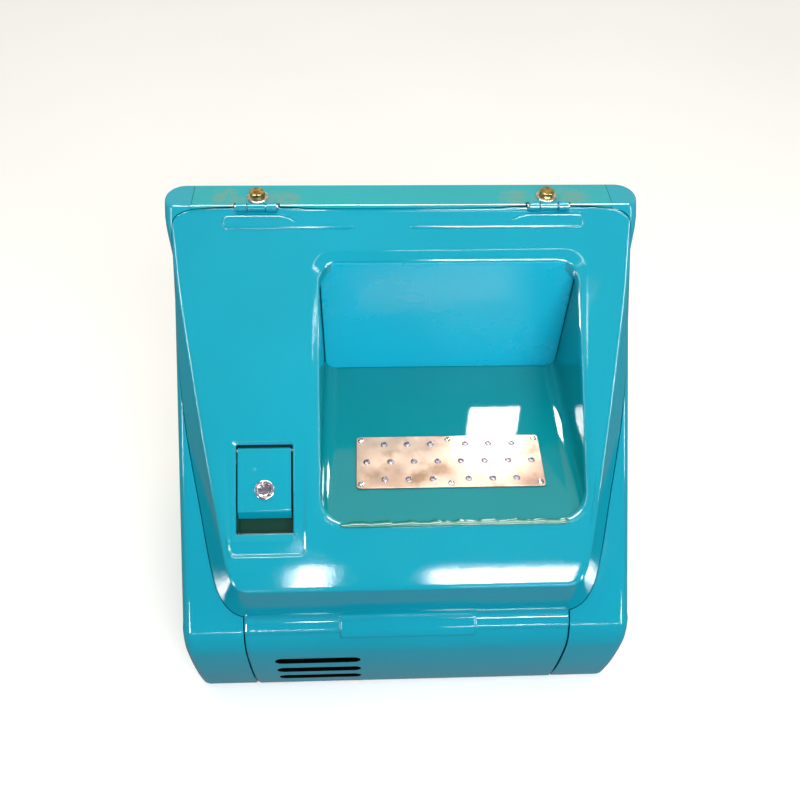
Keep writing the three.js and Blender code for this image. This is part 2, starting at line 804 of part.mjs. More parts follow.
function keyPlug() {
  const plug = turned([
    [0, -26], [3, -26], [3, -20.6], [6.8, -20.6], [6.8, -1.2], [6, -0.8], [0, -0.8],
  ], 16);
  return cut(plug, block(-3.6, 3.6, -0.9, 0.9, -8, 5));
}

function lockCam() {
  const tip = 20;
  const arm = block(-5, 5, 0, tip, -23.2, -20.9);
  const round = join(rod(8, -23.2, -20.9, 12), rod(5, -23.2, -20.9, 12).translate(0, tip, 0));
  return cut(join(arm, round), rod(3.3, -40, 0, 12));
}

function latchHook() {
  const outline = [
    [-296, -22], [-303, -22], [-304.5, -46], [-305.5, -58], [-306.3, -70.5], [-316, -70.5],
    [-318, -76], [-298, -76], [-294, -60], [-294, -44],
  ];
  const hook = run(outline.reverse(), -209.2, -203.8);
  return cut(hook, hookBore());
}

function strikerBracket() {
  const inverse = slope.clone().invert().multiply(face);
  const pin = new THREE.Vector3(0, -STRIKER_AT.down, STRIKER_AT.out).applyMatrix4(inverse);
  const top = FRAME_TOP_FACE - 3 - FIT;
  const leg = block(-262, -OPENING_HALF + 1, pin.y - 15, pin.y + 15, top - 3, top);
  const upright = block(
    -OPENING_HALF + 0.99, -OPENING_HALF + 4, pin.y - 12, pin.y + 12, pin.z - 8, top,
  );
  const bore = rodX(4.3, -300, -100, pin.y, pin.z);
  return cut(join(leg, upright), bore);
}

function latchPin(radius, right, place) {
  return rodX(radius, LATCH_PINS_LEFT, right, -place.down, place.out);
}

function paddleSpring() {
  return tubeX(2.6, 3.7, -190, -160, -PADDLE_PIN_AT.down, PADDLE_PIN_AT.out);
}

function strikerPin() {
  return rodX(4, -234.8, -209.7, -STRIKER_AT.down, STRIKER_AT.out);
}

// ---------------------------------------------------------- the assembly

function inFrame(matrix, ...meshes) {
  const group = new THREE.Group();
  group.applyMatrix4(matrix);
  group.add(...meshes);
  return group;
}

function hingeSet(side, x) {
  const bolt = part(`${side}_hinge_bolt`, hingeBolt(), metal(ZINC, 0.35));
  const washer = part(`${side}_hinge_washer`, tube(5.3, 13.5, FIT, 2.3, 20), metal(BRIGHT, 0.25));
  const nut = part(`${side}_hinge_nut`, hingeNut(), metal(ZINC, 0.4));
  const fastener = new THREE.Group();
  fastener.position.set(x, EDGE_Y + HINGE_BOLT_FROM_EDGE, HEIGHT);
  fastener.add(bolt, washer, nut);

  const leaf = part(`${side}_hinge_moving_leaf`, movingLeaf(), paint(PAINT));
  const nuts = [-17, 17].map((offset, at) => {
    const small = part(`${side}_leaf_nut_${at + 1}`, leafNut(), metal(BRIGHT, 0.4));
    small.position.set(offset, -20, 0);
    return small;
  });
  const half = KNUCKLE_SPAN / 2 + 2;
  const pin = part(
    `${side}_hinge_pin`,
    rodX(PIN_RADIUS, -half, half, pinInFace.y, pinInFace.z),
    metal(BRIGHT, 0.35),
  );
  const onFace = inFrame(face, leaf, pin, ...nuts);
  onFace.position.x = x;
  return [part(`${side}_hinge_fixed_leaf`, fixedLeaf(x), paint(PAINT)), fastener, onFace];
}

function latchSet() {
  const onFace = inFrame(
    face,
    part('latch_housing', latchHousing(), paint(PAINT)),
    part('latch_paddle', latchPaddle(), paint(PAINT)),
    part('latch_hook', latchHook(), metal(BRIGHT, 0.4)),
    part('paddle_pin', latchPin(PADDLE_PIN_RADIUS, -138.6, PADDLE_PIN_AT), metal(BRIGHT, 0.35)),
    part('hook_pin', latchPin(HOOK_PIN_RADIUS, -198.8, HOOK_PIN_AT), metal(BRIGHT, 0.35)),
    part('paddle_spring', paddleSpring(), metal(BRIGHT, 0.5)),
    part('striker_pin', strikerPin(), metal(BRIGHT, 0.35)),
    part('lid_brace', lidBrace(), paint(PAINT)),
  );
  const lock = new THREE.Group();
  lock.position.set(LOCK_AT.x, -LOCK_AT.down, 0);
  lock.add(
    part('lock_barrel', lockBarrel(), metal(BRIGHT, 0.15)),
    part('lock_nut', lockNut(), metal(BRIGHT, 0.4)),
    part('key_plug', keyPlug(), metal(BRIGHT, 0.2)),
    part('lock_cam', lockCam(), metal(BRIGHT, 0.4)),
  );
  onFace.add(lock);
  return onFace;
}

// Reaches from the sill to just behind the closed apron.
function rubberBuffer() {
  const reach = frontAt(BUFFER_Z) + SHEET + 1.5;
  return rod(BUFFER_RADIUS, 0, SILL_FRONT - FIT - reach, 12).rotateX(Math.PI / 2);
}

function caseSet() {
  const grommet = part('drain_grommet', drainGrommet(), rubber());
  grommet.position.set(0, -110, 0);
  const buffers = [['left', -BUFFER_X], ['right', BUFFER_X]].map(([side, x]) => {
    const mesh = part(`${side}_rubber_buffer`, rubberBuffer(), rubber());
    mesh.position.set(x, SILL_FRONT - FIT, BUFFER_Z);
    return mesh;
  });
  const onSlope = inFrame(
    slope,
    part('door_frame', doorFrame(), paint(PAINT)),
    part('door_seal', doorSeal(), rubber()),
    part('striker_bracket', strikerBracket(), paint(PAINT)),
  );
  return [
    part('left_cheek', cheek(-1), paint(PAINT)),
    part('right_cheek', cheek(1), paint(PAINT)),
    part('top_beam', topBeam(), paint(PAINT)),
    part('back_panel', backPanel(), paint(PAINT)),
    part('floor_panel', floorPanel(), paint(PAINT)),
    part('sill_rail', sillRail(), paint(PAINT)),
    part('stay_bracket', stayBracket(), paint(PAINT)),
    part('stay_pin', stayPin(), metal(BRIGHT, 0.35)),
    grommet,
    ...buffers,
    onSlope,
  ];
}

function lidSet() {
  const rivets = rivetPlaces().map(({ x, y }, at) => {
    const rivet = part(`tread_rivet_${at + 1}`, treadRivet(), metal(BRIGHT, 0.35));
    rivet.position.set(x, y, 0);
    return rivet;
  });
  return [
    part('lid_skin', lidSkin(), paint(PAINT)),
    part('step_pocket', stepPocket(), paint(PAINT)),
    part('tread_plate', treadPlate(), metal(TREAD, 0.35)),
    part('sealant_bead', sealantBead(), paint(PAINT)),
    part('stay_quadrant', stayQuadrant(), metal(BRIGHT, 0.4)),
    ...rivets,
  ];
}

const toolBox = new THREE.Group();
toolBox.add(...caseSet(), ...lidSet(), latchSet());
hingeSides().forEach(([side, x]) => toolBox.add(...hingeSet(side, x)));

export default toolBox;
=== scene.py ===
"""Looks of a machine tool box with a step in its lid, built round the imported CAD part.

Shapes are worked out in millimetres, with +X to the right, -Y to the front and +Z up, and
become metres when a mesh is made. Two flat frames carry most of the shape: "slope" lies on
the sloping front of the body and "face" on the raised face of the lid. In both, a point is
(x, down, out): across, down the surface from its top, and out of it.
"""
import json
import math

import bmesh
import bpy
import numpy as np
from mathutils import Matrix, Vector

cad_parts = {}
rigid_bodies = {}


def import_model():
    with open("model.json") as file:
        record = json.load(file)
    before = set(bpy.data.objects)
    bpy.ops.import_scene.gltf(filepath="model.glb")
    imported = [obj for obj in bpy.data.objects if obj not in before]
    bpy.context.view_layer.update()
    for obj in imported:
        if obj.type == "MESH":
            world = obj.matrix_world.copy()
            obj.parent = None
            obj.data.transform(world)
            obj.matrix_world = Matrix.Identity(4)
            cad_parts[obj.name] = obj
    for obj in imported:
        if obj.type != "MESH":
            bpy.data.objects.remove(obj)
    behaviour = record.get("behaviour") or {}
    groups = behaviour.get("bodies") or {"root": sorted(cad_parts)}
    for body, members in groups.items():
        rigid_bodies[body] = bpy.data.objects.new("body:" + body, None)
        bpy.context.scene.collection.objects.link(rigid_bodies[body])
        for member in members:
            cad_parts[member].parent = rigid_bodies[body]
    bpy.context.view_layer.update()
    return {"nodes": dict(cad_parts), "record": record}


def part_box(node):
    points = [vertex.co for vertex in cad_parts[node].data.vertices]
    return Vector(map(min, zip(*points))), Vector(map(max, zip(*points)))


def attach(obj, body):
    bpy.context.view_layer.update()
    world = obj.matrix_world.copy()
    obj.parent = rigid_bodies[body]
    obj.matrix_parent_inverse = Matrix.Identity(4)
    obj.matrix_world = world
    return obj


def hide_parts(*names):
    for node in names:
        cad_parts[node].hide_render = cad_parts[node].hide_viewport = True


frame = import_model()

MM = 0.001
rad = math.radians


def box_mm(node):
    low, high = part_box(node)
    return np.array(low) * 1000, np.array(high) * 1000


def centre_mm(node):
    low, high = box_mm(node)
    return (low + high) / 2


# Driving dimensions, in millimetres and radians
HEIGHT = box_mm("top_beam")[1][2]
BACK_Y = box_mm("back_panel")[1][1]
BODY_HALF = 290
SHEET = 3
STRIP_DEPTH = 45
SLOPE_LEAN = rad(46)
SLOPE_LENGTH = 540
FACE_LEAN = rad(54)
FACE_START = 20
FACE_LENGTH = 456
BELLY_LEAN = rad(36)
BELLY_RADIUS = 70
APRON_RADIUS = 600
APRON_HALF = 209.5
CORNER_SEAM = 265
FRONT_CORNER = 14
REAR_CORNER = 25
STRIP_BOTTOM = 505
LID_GAP = 0.6
SKIRT_DEPTH = 9
FLARE = 10
FLARE_FROM = 478
FLARE_TO = 528
EDGE_Y = BACK_Y - STRIP_DEPTH

POCKET_SHEET = 2.5
pocket_low, pocket_high = box_mm("step_pocket")
POCKET_LEFT = pocket_low[0] + POCKET_SHEET
POCKET_RIGHT = pocket_high[0] - POCKET_SHEET
POCKET_BACK = pocket_high[1] - POCKET_SHEET
POCKET_FLOOR = pocket_low[2] + POCKET_SHEET

SLOPE_UP = np.array([0, math.sin(SLOPE_LEAN), math.cos(SLOPE_LEAN)])
SLOPE_OUT = np.array([0, -math.cos(SLOPE_LEAN), math.sin(SLOPE_LEAN)])
FACE_UP = np.array([0, math.sin(FACE_LEAN), math.cos(FACE_LEAN)])
FACE_OUT = np.array([0, -math.cos(FACE_LEAN), math.sin(FACE_LEAN)])
SLOPE_TOP = np.array([0, EDGE_Y, HEIGHT])
FACE_TOP = SLOPE_TOP - FACE_START * SLOPE_UP
ACROSS = np.array([1.0, 0, 0])
FOLD_Z = HEIGHT - SLOPE_LENGTH * math.cos(SLOPE_LEAN)
NOSE_Z = FOLD_Z - BELLY_RADIUS * math.sin(BELLY_LEAN)


def on_frame(points, top, up, out_axis, out):
    """World points of (x, down) or (x, down, out) rows on one of the two flat frames."""
    rows = np.asarray(points, float)
    outs = rows[:, 2:3] if rows.shape[1] > 2 else np.full((len(rows), 1), float(out))
    return top + rows[:, :1] * ACROSS - rows[:, 1:2] * up + outs * out_axis


def on_slope(points, out=0.0):
    return on_frame(points, SLOPE_TOP, SLOPE_UP, SLOPE_OUT, out)


def on_face(points, out=0.0):
    return on_frame(points, FACE_TOP, FACE_UP, FACE_OUT, out)


def unit(rows):
    return rows / np.maximum(np.linalg.norm(rows, axis=-1, keepdims=True), 1e-9)


def smooth_step(value, edge, width):
    """0 before edge and 1 after it, with a smooth rise of the given width."""
    t = np.clip((value - edge) / width + 0.5, 0, 1)
    return t * t * (3 - 2 * t)


def points_from(x, y, z):
    """Points from three columns, any of which may be a single number."""
    return np.column_stack(np.broadcast_arrays(x, y, z)).astype(float)


# ---------- mesh tools


def link_object(name, data):
    obj = bpy.data.objects.new(name, data)
    bpy.context.scene.collection.objects.link(obj)
    return obj


def mesh_object(name, shape):
    """An undressed object from a (vertices, faces) shape in millimetres."""
    vertices, faces = shape
    mesh = bpy.data.meshes.new(name)
    mesh.from_pydata([tuple(v) for v in np.asarray(vertices) * MM], [], faces)
    mesh.validate()
    return link_object(name, mesh)


def make_piece(name, shape, material, body, angle=32):
    """A smooth-shaded piece on a CAD body, with edges sharper than angle kept crisp."""
    obj = mesh_object(name, shape)
    dress(obj, material, angle)
    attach(obj, body)
    return obj


def make_solid(name, shape, material, body, node=None, angle=32):
    """A closed piece with its faces turned outwards, standing in for a CAD node if one is named."""
    obj = make_piece(name, shape, material, body, angle)
    outward(obj)
    dress(obj, material, angle)
    if node:
        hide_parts(node)
    return obj


def dress(obj, material, angle=32):
    obj.data.materials.clear()
    obj.data.materials.append(material)
    obj.data.polygons.foreach_set("use_smooth", [True] * len(obj.data.polygons))
    obj.data.set_sharp_from_angle(angle=rad(angle))


def strip_faces(rings, closed=True):
    """Quads between rings of the same length."""
    count = len(rings[0])
    faces = []
    for ring in range(len(rings) - 1):
        low = ring * count
        for at in range(count if closed else count - 1):
            after = (at + 1) % count
            faces.append((low + at, low + after, low + count + after, low + count + at))
    return faces


def solid_loft(rings):
    """A closed solid through rings, capped at both ends."""
    vertices = np.vstack(rings)
    count = len(rings[0])
    faces = strip_faces(rings)
    faces.append(tuple(reversed(range(count))))
    faces.append(tuple(range(len(vertices) - count, len(vertices))))
    return vertices, faces


def joined(*parts):
    """Several (vertices, faces) meshes as one."""
    vertices, faces = [], []
    start = 0
    for points, quads in parts:
        vertices.append(np.asarray(points, float))
        faces += [tuple(start + i for i in quad) for quad in quads]
        start += len(points)
    return np.vstack(vertices), faces


def bend_curve(start, corner, end, t):
    """A point of the curve that leaves start and reaches end along the corner's two sides."""
    return (1 - t) ** 2 * start + 2 * t * (1 - t) * corner + t * t * end


def rounded_path(corners, cuts, steps):
    """Rings that run through the corner rings, each inner corner rounded off by its
    (before, after) lengths, which may differ from point to point."""
    path = [corners[0]]
    for at, (before, after) in enumerate(cuts, start=1):
        corner = corners[at]
        start = corner + unit(corners[at - 1] - corner) * before
        end = corner + unit(corners[at + 1] - corner) * after
        path += [bend_curve(start, corner, end, step / steps) for step in range(steps + 1)]
    path.append(corners[-1])
    return path


def chaikin(points):
    """A closed outline with its corners cut three times, so that it runs in smooth curves."""
    outline = np.asarray(points, float)
    for _ in range(3):
        after = np.roll(outline, -1, axis=0)
        pairs = np.stack([0.75 * outline + 0.25 * after, 0.25 * outline + 0.75 * after], axis=1)
        outline = pairs.reshape(-1, outline.shape[1])
    return outline


def rounded_quad(corners, radii, arc_steps=8, edge_steps=10):
    """A closed outline round four (x, down) corners, with a quarter curve at each."""
    corners = np.asarray(corners, float)
    arc_shares = np.linspace(0, 1, arc_steps + 1)[:, None]
    edge_shares = np.linspace(0, 1, edge_steps + 2)[1:-1, None]
    arcs = []
    for at, radius in enumerate(radii):
        corner = corners[at]
        start = corner + unit(corners[at - 1] - corner) * radius
        end = corner + unit(corners[(at + 1) % 4] - corner) * radius
        middle = (start + end) / 2
        arcs.append(bend_curve(start, corner + (middle - corner) * 0.1, end, arc_shares))
    points = []
    for at, arc in enumerate(arcs):
        points += [arc, arc[-1] * (1 - edge_shares) + arcs[(at + 1) % 4][0] * edge_shares]
    return np.vstack(points)


def grown(outline, amount):
    """A closed anticlockwise (x, down) outline moved outwards by amount."""
    along = unit(np.roll(outline, -1, axis=0) - np.roll(outline, 1, axis=0))
    return outline + np.stack([-along[:, 1], along[:, 0]], axis=1) * amount


def block(x0, x1, y0, y1, z0, z1):
    low = np.array([(x0, y0, z0), (x1, y0, z0), (x1, y1, z0), (x0, y1, z0)], float)
    return solid_loft([low, low + np.array([0, 0, z1 - z0])])


def side_run(outline, x0, x1):
    """A side-view outline of (y, z) points, anticlockwise seen from +X, run along X."""
    flat = np.asarray(outline, float)
    near = points_from(x0, flat[:, 0], flat[:, 1])
    return solid_loft([near, near + np.array([x1 - x0, 0, 0])])


def turned(profile, sides, centre=(0, 0, 0)):
    """A round shape about a vertical line through centre, from (radius, z) points. It closes
    where the profile starts and ends on the axis, or where the profile ends at its start."""
    angles = np.linspace(0, 2 * math.pi, sides, endpoint=False)
    rings = [points_from(np.cos(angles) * radius, np.sin(angles) * radius, z) for radius, z in profile]
    return np.vstack(rings) + np.array(centre), strip_faces(rings)


def outward(obj):
    """Merges points that coincide and turns the faces outwards."""
    work = bmesh.new()
    work.from_mesh(obj.data)
    bmesh.ops.remove_doubles(work, verts=work.verts, dist=1e-7)
    bmesh.ops.recalc_face_normals(work, faces=work.faces)
    work.to_mesh(obj.data)
    work.free()


def carve(obj, shapes, operation="DIFFERENCE"):
    """Booleans obj with each closed (vertices, faces) shape and keeps the result."""
    for shape in shapes:
        tool = mesh_object("tool", shape)
        outward(tool)
        cut = obj.modifiers.new("cut", "BOOLEAN")
        cut.operation = operation
        cut.solver = "EXACT"
        cut.object = tool
        settle(obj)
        bpy.data.objects.remove(tool)


def settle(obj):
    """Applies obj's modifiers."""
    bpy.context.view_layer.update()
    graph = bpy.context.evaluated_depsgraph_get()
    made = bpy.data.meshes.new_from_object(obj.evaluated_get(graph))
    old = obj.data
    obj.modifiers.clear()
    obj.data = made
    made.name = obj.name
    bpy.data.meshes.remove(old)


def soften(obj, width):
    """Rounds the sharp edges by width millimetres."""
    bevel = obj.modifiers.new("soft_edges", "BEVEL")
    bevel.width = width * MM
    bevel.segments = 2
    bevel.limit_method = "ANGLE"
    bevel.angle_limit = rad(50)
    bevel.harden_normals = True


def thicken(obj, thickness):
    """Gives an open sheet its thickness, behind the side that its faces look to."""
    wall = obj.modifiers.new("wall", "SOLIDIFY")
    wall.thickness = thickness * MM
    wall.offset = -1
    settle(obj)


# ---------- materials


def new_material(name):
    material = bpy.data.materials.new(name)
    material.use_nodes = True
    shader = material.node_tree.nodes["Principled BSDF"]
    return material, material.node_tree, shader


def feed(node, inputs):
    """Sets a node's inputs, by name or number, to values or to other nodes' outputs."""
    for key, value in inputs.items():
        target = node.inputs[key]
        if isinstance(value, bpy.types.NodeSocket):
            node.id_data.links.new(value, target)
        else:
            target.default_value = (*value, 1) if target.type == "RGBA" else value


def new_node(tree, kind, inputs, **settings):
    node = tree.nodes.new("ShaderNode" + kind)
    for name, value in settings.items():
        setattr(node, name, value)
    feed(node, inputs)
    return node


def coordinates(tree, kind="Object"):
    return new_node(tree, "TexCoord", {}).outputs[kind]


def noise(tree, scale, detail=3.0, stretch=(1, 1, 1)):
    """A noise texture on the piece's own coordinates, in metres."""
    place = new_node(tree, "Mapping", {"Vector": coordinates(tree), "Scale": stretch})
    texture = new_node(tree, "TexNoise", {"Vector": place.outputs["Vector"], "Scale": scale,
                                          "Detail": detail})
    return texture.outputs["Fac"]


def ramp(tree, source, stops):
    """A colour ramp over source; each stop is (place, colour)."""
    node = new_node(tree, "ValToRGB", {"Fac": source})
    elements = node.color_ramp.elements
    for element, (place, colour) in zip(elements, stops):
        element.position = place
        element.color = (*colour, 1)
    return node.outputs["Color"]


def mapped(tree, source, source_range, result_range=(0, 1)):
    """A number moved from one range to another and kept inside it."""
    names = ("From Min", "From Max", "To Min", "To Max")
    ranges = dict(zip(names, (*source_range, *result_range)))
    return new_node(tree, "MapRange", {"Value": source, **ranges}).outputs["Result"]


def multiplied(tree, first, second):
    return new_node(tree, "Math", {0: first, 1: second}, operation="MULTIPLY").outputs["Value"]


def blend_colours(tree, factor, first, second):
    """The first colour where factor is 0, the second where it is 1."""
    factor_at, first_at, second_at, result_at = 0, 6, 7, 2
    inputs = {factor_at: factor, first_at: first, second_at: second}
    return new_node(tree, "Mix", inputs, data_type="RGBA").outputs[result_at]


def bump(tree, shader, height, strength, distance=0.0001):
    node = new_node(tree, "Bump", {"Strength": strength, "Distance": distance, "Height": height})
    feed(shader, {"Normal": node.outputs["Normal"]})


def spot_mask(tree, centre, reach, grain):
    """1 near centre, a point in metres, and 0 beyond reach, with a ragged edge."""
    away = new_node(tree, "VectorMath", {0: coordinates(tree), 1: centre}, operation="DISTANCE")
    near = mapped(tree, away.outputs["Value"], (reach, reach * 0.25))
    ragged = multiplied(tree, near, noise(tree, grain, 6))
    return mapped(tree, ragged, (0.28, 0.5))


PAINT = (0.0015, 0.34, 0.46)
STAIN = (0.20, 0.27, 0.16)
STAIN_STRENGTH = 0.4
HIGH_GLOSS = (0.03, 0.06)


def paint_material(name, tone=PAINT, gloss=HIGH_GLOSS, stains=()):
    """Enamel with orange peel, a tone that varies a little, and stains where asked."""
    material, tree, shader = new_material(name)
    deeper = tuple(0.91 * channel for channel in tone)
    colour = ramp(tree, noise(tree, 5, 2), [(0.3, deeper), (0.7, tone)])
    for centre, reach in stains:
        mask = multiplied(tree, spot_mask(tree, centre, reach, 90), STAIN_STRENGTH)
        colour = blend_colours(tree, mask, colour, STAIN)
    roughness = mapped(tree, noise(tree, 14, 4), (0, 1), gloss)
    feed(shader, {"Base Color": colour, "Roughness": roughness, "IOR": 1.5})
    bump(tree, shader, noise(tree, 460, 2), 0.5)
    return material


def metal_material(name, light, dark, roughness, grain, scratch=0.15):
    """Bare or plated metal: two tones, uneven gloss and fine marks."""
    material, tree, shader = new_material(name)
    colour = ramp(tree, noise(tree, grain, 5), [(0.35, dark), (0.62, light)])
    gloss = mapped(tree, noise(tree, grain * 3, 4), (0, 1), (roughness * 0.7, roughness * 1.4))
    feed(shader, {"Base Color": colour, "Roughness": gloss, "Metallic": 1.0})
    bump(tree, shader, noise(tree, grain * 12), scratch)
    return material


def tread_material():
    """Bare rolled steel, warm and worn, with brown stains and dark specks."""
    material, tree, shader = new_material("tread_steel")
    base = ramp(tree, noise(tree, 16, 5), [(0.3, (0.28, 0.18, 0.14)), (0.6, (0.46, 0.33, 0.26))])
    brown = mapped(tree, noise(tree, 23, 8), (0.53, 0.68))
    worn = blend_colours(tree, brown, base, (0.22, 0.14, 0.09))
    specks = mapped(tree, noise(tree, 240, 4), (0.70, 0.76))
    colour = blend_colours(tree, specks, worn, (0.10, 0.07, 0.06))
    gloss = mapped(tree, noise(tree, 30, 6), (0.3, 0.7), (0.30, 0.46))
    feed(shader, {"Base Color": colour, "Roughness": gloss, "Metallic": 0.85})
    bump(tree, shader, noise(tree, 500, 3, (1, 12, 1)), 0.2)
    return material


def grey_tones(tree, source, dark, light):
    return ramp(tree, source, [(0.3, (dark, dark, dark)), (0.7, (light, light, light))])


def rubber_material():
    material, tree, shader = new_material("black_rubber")
    colour = grey_tones(tree, noise(tree, 80, 4), 0.012, 0.03)
    feed(shader, {"Base Color": colour, "Roughness": 0.75})
    bump(tree, shader, noise(tree, 900, 2), 0.3, 0.0002)
    return material


def floor_material():
    material, tree, shader = new_material("pale_floor")
    feed(shader, {"Base Color": grey_tones(tree, noise(tree, 2), 0.78, 0.81), "Roughness": 0.9,
                  "Specular IOR Level": 0.1, "Emission Color": (1, 1, 1), "Emission Strength": 0.28})
    return material


SIDES = ("left", "right")
bolt_places = [centre_mm(f"{side}_hinge_bolt") for side in SIDES]
BOLT_Y = bolt_places[0][1]
STAIN_REACH = 45
# Stains on the strip to both sides of each hinge bolt, as (centre, reach) in metres
strip_stains = [(np.array([place[0] + aside, place[1] - 5, HEIGHT]) * MM, STAIN_REACH * MM)
                for place in bolt_places for aside in (32, -38)]
paint = paint_material("turquoise_enamel")
# The strip's enamel is a greener tone than the rest of the box: painted warm light from above, besides
# the real stains by the bolts.
strip_warm_lit_paint = paint_material("turquoise_enamel_stained_warm_lit", (0.0015, 0.37, 0.43), stains=strip_stains)
# A lighter copy of the enamel for the pocket's back panel: painted light on the recessed panel.
panel_lit_paint = paint_material("turquoise_enamel_painted_lit", (0.0015, 0.50, 0.70), (0.24, 0.32))
# A darker copy of the enamel for the pocket's tub: painted shade inside the pocket.
tub_shaded_paint = paint_material("turquoise_enamel_painted_shade", (0.0015, 0.27, 0.31))
# The bead's darker, greener enamel is painted shade along the seam at the front edge of the pocket's
# floor.
bead_shade_paint = paint_material("turquoise_sealant_painted_shade", (0.006, 0.22, 0.17), (0.16, 0.22))
# Near-black enamel: painted shade for the unlit inside of the box behind the vents.
shade_black = paint_material("black_painted_shade", (0.004, 0.005, 0.005))
# Very dark olive: painted shade in the latch's pan behind its opening.
pan_shade_paint = paint_material("olive_painted_shade", (0.004, 0.055, 0.030))
zinc = metal_material("yellow_zinc", (0.50, 0.36, 0.15), (0.17, 0.11, 0.04), 0.22, 140)
bright = metal_material("bright_zinc", (0.60, 0.59, 0.56), (0.30, 0.28, 0.25), 0.22, 120)
chrome = metal_material("chrome_plate", (0.52, 0.50, 0.55), (0.36, 0.31, 0.28), 0.11, 90, scratch=0.0)
stud_steel = metal_material("stud_steel", (0.26, 0.24, 0.27), (0.10, 0.09, 0.10), 0.36, 300)
tread_steel = tread_material()
rubber = rubber_material()


# ---------- body of the box


def front_at(z):
    """Where the front of the body is at height z."""
    if z >= FOLD_Z:
        return EDGE_Y - (HEIGHT - z) * math.tan(SLOPE_LEAN)
    radius = BELLY_RADIUS if z >= NOSE_Z else APRON_RADIUS
    rise = z - NOSE_Z
    return -BACK_Y + radius - math.sqrt(radius * radius - rise * rise)


def half_width_at(z):
    return BODY_HALF + FLARE * smooth_step(z, (FLARE_FROM + FLARE_TO) / 2, FLARE_TO - FLARE_FROM)


def corner_arc(centre, radii, from_angle, z):
    angles = np.linspace(from_angle, from_angle + math.pi / 2, 13)
    return points_from(centre[0] + radii[0] * np.cos(angles), centre[1] + radii[1] * np.sin(angles), z)


def body_ring(z, sheet, inset):
    """One level section of the body, drawn in by a sheet's thickness and by inset."""
    stretch = 1 / math.cos(SLOPE_LEAN) if z >= FOLD_Z else 1
    half = half_width_at(z) - sheet - inset
    front = front_at(z) + sheet * stretch + inset * 0.5
    back = BACK_Y - sheet - inset
    front_x = max(FRONT_CORNER - sheet - inset / 2, 2)
    front_y = front_x * stretch
    wanted = REAR_CORNER + half_width_at(z) - BODY_HALF - sheet - inset / 2
    rear = max(min(wanted, back - front - front_y - 1), 2)
    return np.vstack([corner_arc((-half + front_x, front + front_y), (front_x, front_y), math.pi, z),
        corner_arc((half - front_x, front + front_y), (front_x, front_y), 1.5 * math.pi, z),
        corner_arc((half - rear, back - rear), (rear, rear), 0, z),
        corner_arc((-half + rear, back - rear), (rear, rear), 0.5 * math.pi, z),])


def body_levels(sheet):
    """(height, inset) pairs: rounded floor edge, belly, fold, slope, flare and top edge."""
    floor_edge = 6
    top_edge = 3.5
    low = sheet
    high = HEIGHT - sheet
    quarter = np.linspace(0, math.pi / 2, 5)
    levels = [(low + floor_edge * (1 - math.cos(a)), floor_edge * (1 - math.sin(a))) for a in quarter]
    plain = np.concatenate([np.linspace(20, NOSE_Z, 9), np.linspace(NOSE_Z, FOLD_Z, 11)[1:],
        [FOLD_Z + 40, 260, 320, 380, 430], np.linspace(FLARE_FROM - 10, high - top_edge, 12)])
    levels += [(z, 0) for z in plain]
    levels += [(high - top_edge * (1 - math.sin(a)), top_edge * (1 - math.cos(a))) for a in quarter[1:]]
    return levels


def body_shell():
    """The whole body as one closed sheet, before it is cut into cheeks and strip."""
    outer = solid_loft([body_ring(z, 0, inset) for z, inset in body_levels(0)])
    vertices, faces = solid_loft([body_ring(z, SHEET, inset) for z, inset in body_levels(SHEET)])
    return joined(outer, (vertices, [tuple(reversed(face)) for face in faces]))


# Right halves of the lid's edge on the slope and of the raised face's edge on the face,
# [x, down] from the middle of the top round to the bottom, point for point
LID_HALF = [(0, 5), (118, 5), (146, 2.5), (226, 2.5), (252, 4.5), (264, 5), (278, 8.5),
            (287.5, 16), (290, 28), (288.5, 80), (285, 210), (277, 290), (263, 375), (254.5, 435),
            (246, 480), (236, 503), (224, 516), (209.5, 522), (196, 522)]
FACE_HALF = [(0, -14), (118, -14), (146, -14), (226, -14), (252, -14), (262, -14), (276, -10.5),
             (285, -3), (287.5, 10), (285, 62), (263, 190), (250, 268), (236, 345), (226, 400),
             (220.5, 428), (214.5, 444), (207, 452.5), (198, 456), (184, 456)]


def both_halves(half):
    """A closed (x, down) outline, anticlockwise seen from outside."""
    return chaikin(half[::-1] + [(-x, down) for x, down in half[1:]])


lid_edge = both_halves(LID_HALF)
face_edge = both_halves(FACE_HALF)


def lid_prism(gap, low, high):
    outline = grown(lid_edge, gap)
    return solid_loft([on_slope(outline, low), on_slope(outline, high)])


# Ends of the cutting shapes, all outside the box
WIDE = 400
NEAR, FAR = -300, 300
UNDER, OVER = -20, 600
LID_CUT_OVER = 150


def make_cheek(side):
    """One side of the box: the body's shell without its middle, its back and the lid's place."""
    piece = make_piece(f"{side}_cheek_shell", body_shell(), paint, "case")
    seam = CORNER_SEAM + 0.3
    inner = APRON_HALF + 1.6
    shoulder, nose_y = 500, -190
    behind = [(nose_y, UNDER), (FAR, UNDER), (FAR, OVER), (NEAR, OVER), (NEAR, shoulder),
              (front_at(shoulder) + 12, shoulder), (nose_y, FOLD_Z - 10)]
    span = (inner - 1, seam) if side == "right" else (-seam, 1 - inner)
    other = (-WIDE, inner) if side == "right" else (-inner, WIDE)
    carve(piece, [block(*other, NEAR, FAR, UNDER, OVER), side_run(behind, *span),
                  lid_prism(LID_GAP, -14, LID_CUT_OVER)])
    finish_sheet(piece, f"{side}_cheek")


def finish_sheet(piece, *nodes, width=0.9, material=paint):
    """Rounds a cut sheet's edges and stands it in for its CAD nodes."""
    soften(piece, width)
    settle(piece)
    dress(piece, material)
    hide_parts(*nodes)


hinge_x = [centre_mm(f"{side}_hinge_pin")[0] for side in SIDES]
PIN_Y, PIN_Z = centre_mm("left_hinge_pin")[1:]
KNUCKLE_SPAN = 50.5
KNUCKLE_RADIUS = 6
CENTRE_KNUCKLE = 22.5
NOTCH_HALF = 32
NOTCH_DOWN = 12


